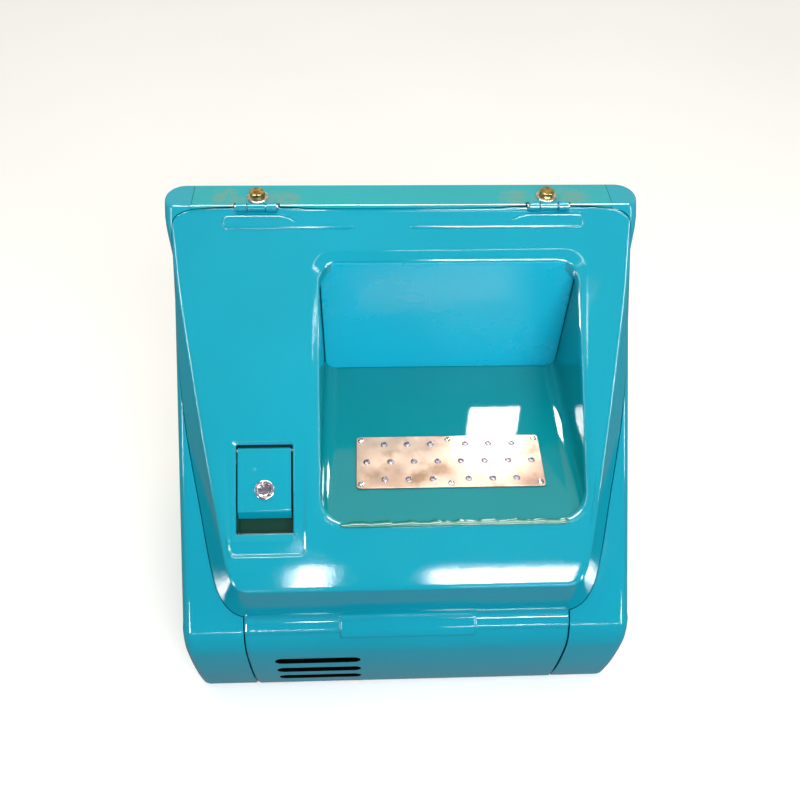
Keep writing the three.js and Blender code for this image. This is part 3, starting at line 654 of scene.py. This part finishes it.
def make_top_beam():
    """The strip over the hinges, notched for them and pierced for their bolts."""
    piece = make_piece("top_strip", body_shell(), strip_warm_lit_paint, "case")
    seam = CORNER_SEAM - 0.3
    cuts = ((-WIDE, -seam, OVER), (seam, WIDE, OVER), (-WIDE, WIDE, STRIP_BOTTOM))
    carve(piece, [block(x0, x1, NEAR, FAR, UNDER, top) for x0, x1, top in cuts])
    carve(piece, [lid_prism(1.2, -60, LID_CUT_OVER)])
    half = KNUCKLE_SPAN / 2 + 3.5
    low, high = 500, 560
    hole_radius = 5.6
    hole = [(0, low), (hole_radius, low), (hole_radius, high), (0, high)]
    for x in hinge_x:
        carve(piece, [block(x - half, x + half, 100, PIN_Y + 8, low, high),
                      turned(hole, 24, (x, BOLT_Y, 0))])
    finish_sheet(piece, "top_beam", width=1.6, material=strip_warm_lit_paint)


# ---------- lid

MOUTH_TOP, MOUTH_BOTTOM = 51.9, 379.6
mouth_corners = [(POCKET_LEFT, MOUTH_TOP), (POCKET_LEFT, MOUTH_BOTTOM),
                 (POCKET_RIGHT, MOUTH_BOTTOM), (POCKET_RIGHT, MOUTH_TOP)]
mouth = rounded_quad(mouth_corners, (26, 36, 36, 26), 10, 14)
SIDE_BEND = 5
NOSE_BEND = 31
TRAY_CORNERS = [(-229, 254), (-218, 415), (-124.5, 415), (-122.5, 254)]
TRAY_FLOOR = [(-224, 260), (-215, 411), (-128.5, 411), (-127, 260)]
LATCH_FRAME = [(-214, 274.5), (-214, 396), (-139, 396), (-139, 274.5)]
LATCH_OPENING = [(-209.8, 279), (-209.8, 387.5), (-140.5, 387.5), (-140.5, 279)]
PAN_TOP, PAN_FLOOR = -9, -25.5
TRAY_SINK = 3.2
SINK_FROM, SINK_OVER = 259, 150
tray_edge = rounded_quad(TRAY_CORNERS, (13, 9, 9, 13))
latch_opening = rounded_quad(LATCH_OPENING, (2, 2, 2, 2))


def lid_face_rings():
    """Skirt, side wall and rounded edge of the lid, from outside in."""
    inward = face_edge - grown(face_edge, 1)
    top = np.clip(inward[:, 1:], 0, 1) ** 2
    bend = inward * np.column_stack([np.full(len(inward), SIDE_BEND),
                                     np.where(inward[:, 1] < 0, NOSE_BEND, SIDE_BEND)])
    before = np.linalg.norm(bend, axis=1, keepdims=True)
    skirt_low = on_slope(grown(lid_edge, -1.2), -SKIRT_DEPTH)
    skirt_mid = on_slope(lid_edge, -SKIRT_DEPTH + 2)
    at_slope = on_slope(lid_edge)
    at_face = on_face(face_edge)
    inside = on_face(face_edge + bend + inward * 0.8)
    wall = np.linalg.norm(at_slope - at_face, axis=1, keepdims=True)
    small = np.minimum(3.5, wall * 0.45)
    return rounded_path([skirt_low, skirt_mid, at_slope, at_face, inside],
                        [(1.2, 1.2), (np.minimum(4.5, 2 + top * 3), small), (small, before)], 7)


def mouth_rings():
    """The step pocket's rim: a shallow tilted band, then a small edge down into the pocket."""
    outward_step = grown(mouth, 1) - mouth
    sideways = np.abs(outward_step[:, :1])
    above = np.clip(-outward_step[:, 1:], 0, 1)
    below = np.clip(outward_step[:, 1:], 0, 1)
    band = 8.5 * sideways + 13.5 * above + 11 * below
    dip = band * 0.18 * (1 - below)
    share = np.clip((mouth[:, 1:] - MOUTH_TOP) / (MOUTH_BOTTOM - MOUTH_TOP), 0, 1)
    angle = share * math.pi / 2
    inwards = np.column_stack([np.zeros(len(mouth)), np.sin(angle), -np.cos(angle)])
    rim = on_face(np.column_stack([mouth, -dip]))
    flange = 13 - 8 * below
    before = 3.2 + 5 * below
    after = np.minimum(before, flange * 0.8)
    start = on_face(mouth + outward_step * (band + 2.4))
    bend = on_face(mouth + outward_step * band)
    return rounded_path([start, bend, rim, rim + inwards * flange], [(2.2, 2.2), (before, after)], 7)


def on_tray(outline, drop=0.0):
    """World points of an outline on the tray's floor, which sinks as it goes down the face."""
    depth = np.clip((outline[:, 1] - SINK_FROM) / SINK_OVER, 0, 1) * TRAY_SINK
    return on_face(np.column_stack([outline, -depth - drop]))


def tray_rings():
    """The sunken panel round the latch and the bevelled frame of its opening."""
    floor = on_tray(rounded_quad(TRAY_FLOOR, (9, 6, 6, 9)))
    frame_edge = on_tray(rounded_quad(LATCH_FRAME, (3, 3, 3, 3)))
    bevel = 1.8
    corners = [on_face(grown(tray_edge, 1.6)), on_face(tray_edge), floor, frame_edge,
               on_tray(latch_opening, bevel), on_face(latch_opening, -12)]
    return rounded_path(corners, [(1.0, 1.2), (1.2, 1.6), (0.6, 0.6), (0.6, 0.6)], 4)


def make_latch_pan():
    """The latch's deep pan behind its opening, with a rounded floor edge. Its very dark olive is painted
    shade inside the opening.
    """
    outline = grown(latch_opening, 2.3)
    low = grown(outline, -0.6)
    flat = grown(low, -3)
    rings = rounded_path([on_face(outline, PAN_TOP), on_face(low, PAN_FLOOR),
                          on_face(flat, PAN_FLOOR)], [(2, 2)], 4)
    total = len(outline) * len(rings)
    floor = tuple(range(total - len(outline), total))
    pan = make_piece("latch_pan", (np.vstack(rings), strip_faces(rings) + [floor]), pan_shade_paint, "lid")
    face_towards(pan, on_face([(-175, 330, 40)])[0])
    thicken(pan, 1.2)
    dress(pan, pan_shade_paint)
    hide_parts("latch_housing")


def notch_tool(hinge_at, end):
    """Cuts the lid's top edge clear of a fixed knuckle, left (-1) or right (1) of the middle."""
    x0, x1 = sorted((hinge_at + end * (CENTRE_KNUCKLE / 2 + 0.6), hinge_at + end * NOTCH_HALF))
    low = on_slope([(x0, NOTCH_DOWN), (x1, NOTCH_DOWN), (x1, -12), (x0, -12)], -30)
    return solid_loft([low, low + 60 * SLOPE_OUT])


def make_lid():
    """The lid's pressed cover: rings round its edge, the pocket's mouth and the tray, with the
    flat face filled in between them."""
    work = bmesh.new()

    def add_rings(rings):
        rows = [[work.verts.new(Vector(p) * MM) for p in ring] for ring in rings]
        for low, high in zip(rows, rows[1:]):
            for at in range(len(low)):
                after = (at + 1) % len(low)
                work.faces.new((low[at], low[after], high[after], high[at]))
        return rows

    outside = add_rings(lid_face_rings())[-1]
    lip = add_rings(mouth_rings())[0]
    tray = add_rings(tray_rings())
    borders = []
    for ring in (outside, lip, tray[0]):
        for at, vertex in enumerate(ring):
            other = ring[(at + 1) % len(ring)]
            borders.append(work.edges.get((vertex, other)) or work.edges.new((vertex, other)))
    bmesh.ops.triangle_fill(work, edges=borders, use_beauty=True, use_dissolve=False,
                            normal=Vector(FACE_OUT))
    mesh = bpy.data.meshes.new("lid_cover")
    work.normal_update()
    work.to_mesh(mesh)
    work.free()
    obj = link_object("lid_cover", mesh)
    thicken(obj, 2)
    carve(obj, [notch_tool(x, end) for x in hinge_x for end in (-1, 1)])
    dress(obj, paint, 34)
    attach(obj, "lid")
    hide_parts("lid_skin")


def apron_outline():
    """Side-view (y, z) points down the front of the lid below its raised face."""
    valley = on_slope([(0, LID_HALF[-1][1])])[0]
    up = unit(on_face([(0, FACE_LENGTH)])[0] - valley)
    start = valley + up * 16 - SLOPE_OUT * 0.5
    fold = on_slope([(0, SLOPE_LENGTH)])[0]
    begin = valley + unit(start - valley) * 9
    end = valley + unit(fold - valley) * 6
    points = [start] + [bend_curve(begin, valley, end, t) for t in np.linspace(0, 1, 10)]
    points += [valley + (fold - valley) * share for share in np.linspace(0.45, 0.92, 9)]
    heights = np.concatenate([np.linspace(FOLD_Z - 1.2, NOSE_Z, 22), np.linspace(NOSE_Z, 4, 14)[1:],
                              [2.5]])
    points += [np.array([0, front_at(z), z]) for z in heights]
    return np.array(points)[:, 1:]


VENT_LEFT, VENT_RIGHT = -166, -72
VENT_HEIGHTS = (100, 67, 35)


def make_apron():
    """The lower front of the lid, with a pressed rib along the fold and a boss in its middle."""
    outline = apron_outline()
    run_along = np.concatenate([[0], np.cumsum(np.linalg.norm(np.diff(outline, axis=0), axis=1))])
    ahead = np.gradient(outline, axis=0)
    normals = unit(np.column_stack([ahead[:, 1], -ahead[:, 0]]))
    fold_at = run_along[np.argmin(np.abs(outline[:, 1] - FOLD_Z))]
    fine = np.arange(0, run_along[-1], 1.5)
    ys, zs, ny, nz = [np.interp(fine, run_along, values)[:, None] for values in (*outline.T, *normals.T)]
    xs = np.concatenate([np.arange(-APRON_HALF, -100, 4), np.arange(-100, -74, 1),
                         np.arange(-74, 74, 4), np.arange(74, 100, 1),
                         np.arange(100, APRON_HALF, 4), [APRON_HALF]])
    grid_x, grid_v = np.meshgrid(xs, fine - fold_at)
    rib_height, boss_height, boss_half, end_round = 1.8, 3.4, 87, 1.6
    rib = smooth_step(grid_v, -12, 3.5) * (1 - smooth_step(grid_v, 5.5, 4)) * rib_height
    boss = smooth_step(grid_v, -16, 3.5) * (1 - smooth_step(grid_v, 13, 4)) * boss_height
    middle = smooth_step(grid_x, -boss_half, 4) * (1 - smooth_step(grid_x, boss_half, 4))
    ends = np.clip((APRON_HALF - np.abs(grid_x)) / 2, 0, 1)
    lift = rib * (1 - middle) + boss * middle - end_round * (1 - np.sqrt(1 - (1 - ends) ** 2))
    points = np.stack([grid_x, ys + ny * lift, zs + nz * lift], axis=-1)
    faces = [face[:1] + face[:0:-1] for face in strip_faces(points, closed=False)]
    obj = make_piece("apron", (np.vstack(points), faces), paint, "lid")
    thicken(obj, 2.5)
    carve(obj, vent_tools())
    dress(obj, paint)
    # Faces round and behind the vents that don't look out get near-black: painted shade for the box's
    # dark inside.
    obj.data.materials.append(shade_black)
    reach = 12
    for face in obj.data.polygons:
        x, z = face.center.x / MM, face.center.z / MM
        near_vents = VENT_LEFT - reach < x < VENT_RIGHT + reach and z < VENT_HEIGHTS[0] + reach
        if near_vents and face.normal.y > -0.5:
            face.material_index = 1


def vent_tools():
    """Three slots with round ends, low on the left."""
    angles = np.linspace(-math.pi / 2, math.pi / 2, 13)
    end, rise = 10 * np.cos(angles), 8.5 * np.sin(angles)
    xs = np.concatenate([VENT_RIGHT + end, VENT_LEFT - end])
    rises = np.concatenate([rise, -rise])
    y_from, y_to = -260, -170
    return [solid_loft([points_from(xs, y, z + rises) for y in (y_from, y_to)]) for z in VENT_HEIGHTS]


# ---------- step pocket


def pocket_section(y, grow, radius):
    """Points at depth y down the left side, round the floor's corners and up the right side."""
    left, right = POCKET_LEFT - grow, POCKET_RIGHT + grow
    floor = POCKET_FLOOR - grow
    bend = radius + grow
    top = 560
    angles = np.linspace(0, math.pi / 2, 10)
    cosines, sines = bend - bend * np.cos(angles), bend - bend * np.sin(angles)
    xs = np.concatenate([[left], left + cosines, right - sines, [right]])
    zs = np.concatenate([[top], floor + sines, floor + cosines, [top]])
    return points_from(xs, y, zs)


def make_pocket():
    """The bent tub and, spot-welded behind it, the flat back panel."""
    front = frame_edge_y(POCKET_FLOOR) - 30
    rows = [pocket_section(y, 0.6, 18) for y in np.linspace(front, POCKET_BACK + 1.2, 12)]
    tub = (np.vstack(rows), strip_faces(rows, closed=False))
    edge = pocket_section(POCKET_BACK, -0.5, 15)
    panel = (edge, [tuple(range(len(edge)))])
    trim = on_face([(0, 0)], -3.2)[0]
    # The tub wears painted shade and the back panel painted light, as darker and lighter copies of the
    # enamel.
    for name, shape, thickness, material in (("pocket_tub", tub, 2, tub_shaded_paint),
                                             ("pocket_back", panel, 1.8, panel_lit_paint)):
        obj = make_piece(name, shape, material, "lid")
        work = bmesh.new()
        work.from_mesh(obj.data)
        everything = work.verts[:] + work.edges[:] + work.faces[:]
        bmesh.ops.bisect_plane(work, geom=everything, plane_co=Vector(trim) * MM,
                               plane_no=Vector(FACE_OUT), clear_outer=True)
        bmesh.ops.recalc_face_normals(work, faces=work.faces)
        work.to_mesh(obj.data)
        work.free()
        face_towards(obj, ((POCKET_LEFT + POCKET_RIGHT) / 2, 0, 400))
        thicken(obj, thickness)
        dress(obj, material)
        if name == "pocket_tub":
            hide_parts("step_pocket")


def face_towards(obj, point):
    """Turns an open sheet's faces so that they look at a point."""
    target = Vector(point) * MM
    balance = sum((target - f.center).dot(f.normal) * f.area for f in obj.data.polygons)
    if balance < 0:
        obj.data.flip_normals()


def frame_edge_y(z):
    """Where the raised face's plane is at height z."""
    return FACE_TOP[1] - (FACE_TOP[2] - z) * math.tan(FACE_LEAN)


def make_sealant():
    """A hand-run bead of painted seam sealant along the front edge of the pocket's floor."""
    y_mid = frame_edge_y(POCKET_FLOOR) + 2
    xs = np.arange(POCKET_LEFT + 22, POCKET_RIGHT - 20, 1.5)
    around = np.linspace(-0.15 * math.pi, 1.15 * math.pi, 11)
    rows = []
    for x in xs:
        wave = math.sin(x / 2.3) * 0.35 + math.sin(x / 5.1 + 1) * 0.6 + math.sin(x / 1.37) * 0.2
        end = min(1, (x - xs[0]) / 6, (xs[-1] - x) / 6)
        radius = (3.1 + 0.7 * wave) * math.sqrt(max(end, 0.02))
        y = y_mid + 0.9 * wave
        rows.append(points_from(x, y + radius * 1.3 * np.cos(around),
                                POCKET_FLOOR - 0.2 + radius * 0.85 * np.sin(around)))
    # Its darker, greener enamel is painted shade along the seam.
    make_solid("seam_bead", solid_loft(rows), bead_shade_paint, "lid", "sealant_bead", 60)


def make_tread():
    """The tread plate, with a raised, pierced stud at each place."""
    (x0, y0, bottom), (x1, y1, _) = box_mm("tread_plate")
    middle = centre_mm("tread_plate")[:2]
    top = bottom + 2
    outline = rounded_quad([(x0, y1), (x0, y0), (x1, y0), (x1, y1)], (4, 4, 4, 4), 6, 4)

    def ring(shrink, z):
        return points_from(*(outline + np.sign(middle - outline) * shrink).T, z)

    plate = solid_loft([ring(0.4, bottom), ring(0, bottom + 0.4), ring(0, top - 0.4),
                        ring(0.15, top - 0.1), ring(0.5, top)])
    make_solid("tread_sheet", plate, tread_steel, "lid", "tread_plate")
    pitch, row_gap = 30.5, 28
    stud = [(0, -0.2), (4.6, -0.2), (4.1, 0.5), (3.5, 1.3), (2.9, 1.75), (2.3, 1.7), (1.9, 1.2),
            (1.7, 0.2), (0, 0.15)]
    studs = []
    for row in (-1, 0, 1):
        starts = np.arange(4) + 0.5 if row == 0 else np.arange(3) + 0.75
        for along in np.concatenate([-starts, starts]):
            place = (middle[0] + along * pitch, middle[1] + row * row_gap, top)
            studs.append(turned(stud, 20, place))
    make_solid("tread_studs", joined(*studs), stud_steel, "lid", "tread_plate", 45)
    for number in range(1, 7):
        node = f"tread_rivet_{number}"
        low, high = box_mm(node)
        head = high[2] - 1.8
        profile = [(0, low[2]), (1.8, low[2]), (1.8, head), (3.9, head), (3.8, head + 0.5),
                   (3.1, head + 1.3), (1.9, head + 1.7), (1.6, head + 1.1), (0, head + 1.0)]
        shape = turned(profile, 24, (*centre_mm(node)[:2], 0))
        make_solid(f"rivet_{number}", shape, bright, "lid", node, 35)


# ---------- hinges


def pin_barrel(radius, x0, x1):
    """A knuckle round the hinge pin, with slightly rounded ends."""
    end = 0.6
    length = x1 - x0
    profile = [(0, 0), (radius - end, 0), (radius, end), (radius, length - end),
               (radius - end, length), (0, length)]
    vertices, faces = turned(profile, 28)
    return vertices[:, [2, 0, 1]] + np.array([x0, PIN_Y, PIN_Z]), faces


def face_slab(x0, x1, top, bottom, low, high):
    """A flat block on the face frame, from low to high out of the face."""
    outline = [(x0, top), (x1, top), (x1, bottom), (x0, bottom)]
    return solid_loft([on_face(outline, low), on_face(outline, high)])


def make_hinge(side, x):
    """Two fixed knuckles and their leaf, the lid's knuckle between them, and the lid's leaf."""
    half = KNUCKLE_SPAN / 2
    centre = CENTRE_KNUCKLE / 2
    leaf_top = HEIGHT - SHEET - 0.3
    leaf_bottom = leaf_top - 3
    for end, letter in ((-1, "a"), (1, "b")):
        inner, outer = sorted((x + end * (centre + 0.8), x + end * half))
        piece = make_solid(f"{side}_fixed_knuckle_{letter}", pin_barrel(KNUCKLE_RADIUS, inner, outer),
                           paint, "case")
        carve(piece, [block(inner, outer, PIN_Y, PIN_Y + 14, leaf_bottom, leaf_top)], "UNION")
        dress(piece, paint)
    leaf = block(x - half, x + half, PIN_Y + 9, BACK_Y - 14, leaf_bottom, leaf_top)
    finish_sheet(make_solid(f"{side}_fixed_leaf", leaf, paint, "case"),
                 f"{side}_hinge_fixed_leaf", width=0.6)
    barrel = pin_barrel(KNUCKLE_RADIUS - 0.8, x - centre, x + centre)
    moving = make_solid(f"{side}_moving_leaf", barrel, paint, "lid")
    carve(moving, [face_slab(x - centre, x + centre, -15, 4, -6, -0.1)], "UNION")
    finish_sheet(moving, width=0.5)
    plate = face_slab(x - 27, x + 27, -10, 32, -6.1, -3.3)
    finish_sheet(make_solid(f"{side}_leaf_plate", plate, paint, "lid"),
                 f"{side}_hinge_moving_leaf", width=0.5)


def make_bolt(side, x):
    """A hinge's hexagon bolt, its corners chamfered, and the round washer under it."""
    across_flats = 17
    corner_radius = across_flats / math.sqrt(3)
    base = HEIGHT + 2.6
    top = 6.4

    def hexagon(scale, z):
        angles = np.radians(np.arange(0, 360, 5) + 12)
        wedge = np.cos(np.mod(angles, rad(60)) - rad(30))
        radius = np.minimum(across_flats / 2 / wedge, corner_radius * scale)
        return points_from(x + radius * np.cos(angles), BOLT_Y + radius * np.sin(angles), base + z)

    head = [hexagon(0.9, 0.0), hexagon(0.96, 0.5), hexagon(1, 0.9), hexagon(1, top - 1.5),
            hexagon(0.95, top - 0.9), hexagon(0.88, top - 0.2), hexagon(0.84, top),
            hexagon(0.62, top), hexagon(0.58, top - 0.5)]
    shank = turned([(0, -20), (4.6, -20), (5, -19.5), (5, 1.5), (0, 1.5)], 24, (x, BOLT_Y, base))
    make_solid(f"{side}_hex_bolt", joined(solid_loft(head), shank), zinc, "case",
               f"{side}_hinge_bolt", 25)
    rim = [(5.4, 0.3), (12.6, 0.3), (13.5, 0.8), (13.5, 1.5), (12.9, 2.0), (9.6, 2.4),
           (5.4, 2.45), (5.4, 0.3)]
    make_solid(f"{side}_round_washer", turned(rim, 48, (x, BOLT_Y, HEIGHT)), bright, "case",
               f"{side}_hinge_washer", 40)


def pad_outline(sign, spread):
    """The pressed pad round a hinge and its long tail towards the middle of the lid."""
    end, start, tail = (228, 150, 10) if sign > 0 else (226, 148, 66)
    middle, half, thin = 0.5, 8 + spread, 3 + spread
    top, bottom = middle - half, middle + half
    angles = np.linspace(-math.pi / 2, math.pi / 2, 13)
    outline = [(end - 8 + half * math.cos(a), middle + half * math.sin(a)) for a in angles]
    outline += [(start - 4, bottom), (start - 26, bottom), (tail, bottom)]
    outline += [(tail - thin * 0.8, bottom - thin * 0.5), (tail, bottom - thin)]
    outline += [(start - 30, bottom - thin), (start - 20, bottom - thin - 1), (start - 4, top + 3),
                (start + 8, top)]
    return np.array(outline) * (sign, 1)


def make_pads():
    levels = [(2.8, -0.3), (2.2, 0.15), (1.2, 0.85), (0.1, 1.5), (-1.0, 1.95), (-2.2, 2.1)]
    for side, sign in zip(SIDES, (-1, 1)):
        rings = [on_face(pad_outline(sign, spread)[::-sign], out) for spread, out in levels]
        make_solid(f"{side}_pressed_pad", solid_loft(rings), paint, "lid", angle=50)


# ---------- latch

PADDLE_LEFT, PADDLE_RIGHT = -207.6, -143
PADDLE_TOP, PADDLE_FOLD = 282.7, 359.6
LOCK = (-174.8, 334)


def turned_on_face(profile, sides, place):
    """A round shape about the line out of the face at place, from (radius, out) points."""
    vertices, faces = turned(profile, sides)
    base = on_face([place])[0]
    placed = base + vertices[:, :1] * ACROSS + vertices[:, 1:2] * FACE_UP
    return placed + vertices[:, 2:3] * FACE_OUT, faces


def make_paddle():
    """The paddle: a flat plate whose lower edge is bent inwards as a finger grip."""
    left, right, top, low = PADDLE_LEFT, PADDLE_RIGHT, PADDLE_TOP, PADDLE_FOLD
    section = [(top + 0.3, -7), (top, -5), (top + 1.2, -3.4), (top + 3, -3), (low - 2, -3),
               (low, -3.4), (low + 1.4, -4.6), (low + 8.6, -12.6), (low + 9.2, -14.2),
               (low + 8.2, -15.6), (low + 6.6, -15.2), (low - 1, -6.4), (low - 3, -6), (top + 4, -6)]
    xs = [left + 0.5, left, *np.linspace(left + 0.001, right - 0.001, 9), right, right - 0.5]
    middle = np.mean(section, axis=0)
    rings = []
    for at, x in enumerate(xs):
        pull = 0.35 if at in (0, len(xs) - 1) else 0
        rows = [(x, d + np.sign(middle[0] - d) * pull, o - pull) for d, o in section]
        rings.append(on_face(rows))
    paddle = make_solid("paddle_plate", solid_loft(rings), paint, "paddle", "latch_paddle")
    lock_hole = [(0, -30), (9.9, -30), (9.9, 10), (0, 10)]
    carve(paddle, [turned_on_face(lock_hole, 40, LOCK)])
    arm = [(283, -4.5), (296, -4.5), (295, -12), (293.5, -30), (288, -30), (281, -12)]
    for x, outline in ((left + 1.1, arm), (right - 4.1, arm[:3] + [(281, -12)])):
        near = on_face([(x, d, o) for d, o in outline])
        carve(paddle, [solid_loft([near, near + 3 * ACROSS])], "UNION")
    dress(paddle, paint)
    dot = [(0, -3.3), (2.2, -3.3), (2.2, -2.98), (1.9, -2.8), (1.1, -2.72), (0.6, -2.9), (0, -3.0)]
    make_solid("paddle_weld_dot", turned_on_face(dot, 20, (-187, 309)), paint, "paddle")


def make_lock():
    """The lock's chromed ring, and the core that turns in it, with its key slot."""
    barrel = [(6.9, -19.8), (9.5, -19.8), (9.5, -2.7), (12.0, -2.7), (12.3, -2.3), (12.1, -1.4),
              (11.6, -0.85), (11.0, -0.62), (8.9, -0.6), (8.4, -0.75), (8.0, -1.3), (7.6, -2.1),
              (6.9, -2.3), (6.9, -19.8)]
    make_solid("lock_ring", turned_on_face(barrel, 48, LOCK), chrome, "paddle", "lock_barrel", 50)
    plug = [(0, -26), (3, -26), (3, -20.6), (6.7, -20.6), (6.7, -2.0), (6.3, -1.5), (5.6, -1.4),
            (5.2, -1.9), (4.7, -1.9), (4.3, -1.5), (0, -1.4)]
    core = make_solid("lock_core", turned_on_face(plug, 48, LOCK), chrome, "key", "key_plug", 35)
    x, down = LOCK
    carve(core, [face_slab(x - 2.9, x + 2.9, down - 0.6, down + 0.6, -6, 6)])
    dress(core, chrome, 35)


def make_spring():
    """The torsion spring coiled on the paddle's pin."""
    low, high = box_mm("paddle_spring")
    y, z = centre_mm("paddle_spring")[1:]
    wire, radius, turns = 0.5, 3.1, 11
    steps = turns * 20
    xs = np.linspace(low[0] + 1, high[0] - 1, steps)
    angles = np.linspace(0, turns * 2 * math.pi, steps)
    line = points_from(xs, y + radius * np.cos(angles), z + radius * np.sin(angles))
    around = np.linspace(0, 2 * math.pi, 8, endpoint=False)[:, None]
    rings = []
    for before, at, after in zip([line[0], *line], line, [*line[1:], line[-1]]):
        ahead = unit(after - before)
        side = unit(np.cross(ahead, ACROSS))
        up = np.cross(side, ahead)
        rings.append(at + wire * (np.cos(around) * side + np.sin(around) * up))
    make_solid("torsion_spring", solid_loft(rings), bright, "lid", "paddle_spring", 60)


# ---------- CAD nodes that stay

SLOT_MATERIALS = {"paint": paint, "rubber": rubber, "yellow_zinc": zinc, "bright_steel": bright,
                  "chrome": chrome, "tread_steel": tread_steel}

# The pieces behind the vents, in near-black as painted shade for the unlit inside of the box, and the
# dull paddle pin
OWN_MATERIALS = {"floor_panel": shade_black, "sill_rail": shade_black, "paddle_pin": stud_steel}


def dress_cad_nodes():
    """Materials and softened edges for the inner CAD pieces, which are shown as they are."""
    slots = {row["node"]: row["material_slot"] for row in frame["record"]["subparts"]}
    for name, node in frame["nodes"].items():
        if node.hide_render:
            continue
        node.data.materials.clear()
        node.data.materials.append(OWN_MATERIALS.get(name, SLOT_MATERIALS[slots[name]]))
        weld = node.modifiers.new("weld", "WELD")
        weld.merge_threshold = 0.001 * MM
        soften(node, 0.5)


def keep_flats_flat():
    """Weights the shading by face area, so that flat faces mirror as flat ones."""
    nodes = set(frame["nodes"].values())
    for obj in bpy.context.scene.objects:
        if obj.type == "MESH" and obj not in nodes:
            shading = obj.modifiers.new("flat_shading", "WEIGHTED_NORMAL")
            shading.keep_sharp = True


# ---------- floor, light, camera


def make_floor():
    """A pale floor just under the box, which the paint doesn't mirror."""
    reach = 9000
    corners = [(-reach, -reach, 0), (reach, -reach, 0), (reach, reach, 0), (-reach, reach, 0)]
    floor = mesh_object("floor", (corners, [(0, 1, 2, 3)]))
    floor.location.z = -0.0002
    floor.visible_glossy = False
    floor.visible_diffuse = False
    floor.data.materials.append(floor_material())


def aim(obj, target):
    direction = Vector(target) - obj.location
    obj.rotation_euler = direction.to_track_quat("-Z", "Y").to_euler()


def light_panel(name, place, target, width, height, radiance, colour=(1, 1, 1), soft=False):
    """A rectangular lamp: a soft one only lights, any other is only seen mirrored in gloss."""
    lamp = bpy.data.lights.new(name, "AREA")
    lamp.shape = "RECTANGLE"
    lamp.size = width
    lamp.size_y = height
    lamp.energy = radiance * math.pi * width * height
    lamp.color = colour
    obj = link_object(name, lamp)
    obj.location = place
    obj.visible_diffuse = soft
    obj.visible_glossy = not soft
    aim(obj, target)
    return obj


def make_world():
    """A sky that is cool at the front and warm at the back, over a grey ground."""
    world = bpy.data.worlds.new("studio")
    bpy.context.scene.world = world
    world.use_nodes = True
    tree = world.node_tree
    split = new_node(tree, "SeparateXYZ", {"Vector": coordinates(tree, "Generated")})
    sky = ramp(tree, mapped(tree, split.outputs["Y"], (-0.75, 0.45)),
               [(0.0, (0.30, 0.40, 0.56)), (1.0, (1.10, 0.98, 0.70))])
    above = mapped(tree, split.outputs["Z"], (-0.06, 0.06))
    around = blend_colours(tree, above, (0.30, 0.30, 0.29), sky)
    feed(tree.nodes["Background"], {"Color": around, "Strength": 0.8})


def make_lights():
    """Soft keys for the shading, and windows and tubes where the photo's paint mirrors them."""
    middle = (0, 0, 0.35)
    light_panel("back_key", (-0.3, 0.8, 1.9), middle, 1.6, 0.7, 1.0, (1, 0.97, 0.88), soft=True)
    light_panel("front_key", (0.8, -2.3, 2.4), middle, 1.6, 1.6, 8.0, (1, 0.99, 1.0), soft=True)
    light_panel("top_key", (0, -0.25, 1.6), (0, 0.1, 0.5), 0.8, 0.8, 2.3, soft=True)
    for x, width, low, high in ((0.47, 0.56, 1.28, 1.82), (-0.27, 0.11, 1.28, 1.90)):
        light_panel("window", (x, -1.80, (low + high) / 2), (x, 0, 0.9), width, high - low, 45)
    light_panel("lip_tube", (0.43, -1.0, 2.64), (0, 0.13, 0.5), 0.82, 0.03, 35)
    for x, width in ((-0.568, 0.364), (-0.272, 0.076), (0.65, 0.80)):
        light_panel("low_tube", (x, -2.2, 0.90), (x, 0, 0.3), width, 0.035, 60)
    light_panel("top_tube", (0, 0.25, 2.6), (0, 0, 0.5), 2.6, 0.4, 40)
    light_panel("low_fill", (-0.2, -2.2, 0.45), (0, -0.2, 0.15), 1.6, 0.6, 1.5, soft=True)
    patch = light_panel("pocket_patch", (0.144, 0.117, 0.424), (0.144, -1, 0.424), 0.074, 0.07, 60)
    patch.visible_camera = False
    for sign in (-1, 1):
        light_panel("side_tube", (sign * 1.7, -0.5, 1.3), middle, 0.10, 1.8, 25)
        light_panel("corner_tube", (sign * 1.6, -1.94, 0.72), (0, -0.2, 0.2), 0.14, 0.5, 80)


def make_camera():
    """The photo's viewpoint: 49 degrees down, 3 degrees from straight ahead."""
    yaw, pitch, roll = rad(3.31), rad(48.84), rad(-1.754)
    forward = Vector((math.sin(yaw) * math.cos(pitch), math.cos(yaw) * math.cos(pitch), -math.sin(pitch)))
    right = Vector((math.cos(yaw), -math.sin(yaw), 0))
    up = right.cross(forward)
    turned_right = right * math.cos(roll) - up * math.sin(roll)
    turned_up = right * math.sin(roll) + up * math.cos(roll)
    data = bpy.data.cameras.new("camera")
    data.sensor_width = 36
    data.lens = 36.93
    camera = link_object("camera", data)
    basis = Matrix((turned_right, turned_up, -forward)).transposed().to_4x4()
    camera.matrix_world = Matrix.Translation((-0.0467, -0.6843, 1.1552)) @ basis
    bpy.context.scene.camera = camera


for cheek_side in SIDES:
    make_cheek(cheek_side)
make_top_beam()
make_lid()
make_latch_pan()
make_apron()
make_pocket()
make_sealant()
make_tread()
for hinge_side, hinge_at in zip(SIDES, hinge_x):
    make_hinge(hinge_side, hinge_at)
    make_bolt(hinge_side, hinge_at)
make_pads()
make_paddle()
make_lock()
make_spring()
dress_cad_nodes()
keep_flats_flat()
make_floor()
make_world()
make_lights()
make_camera()
bpy.context.scene.view_settings.view_transform = "Standard"
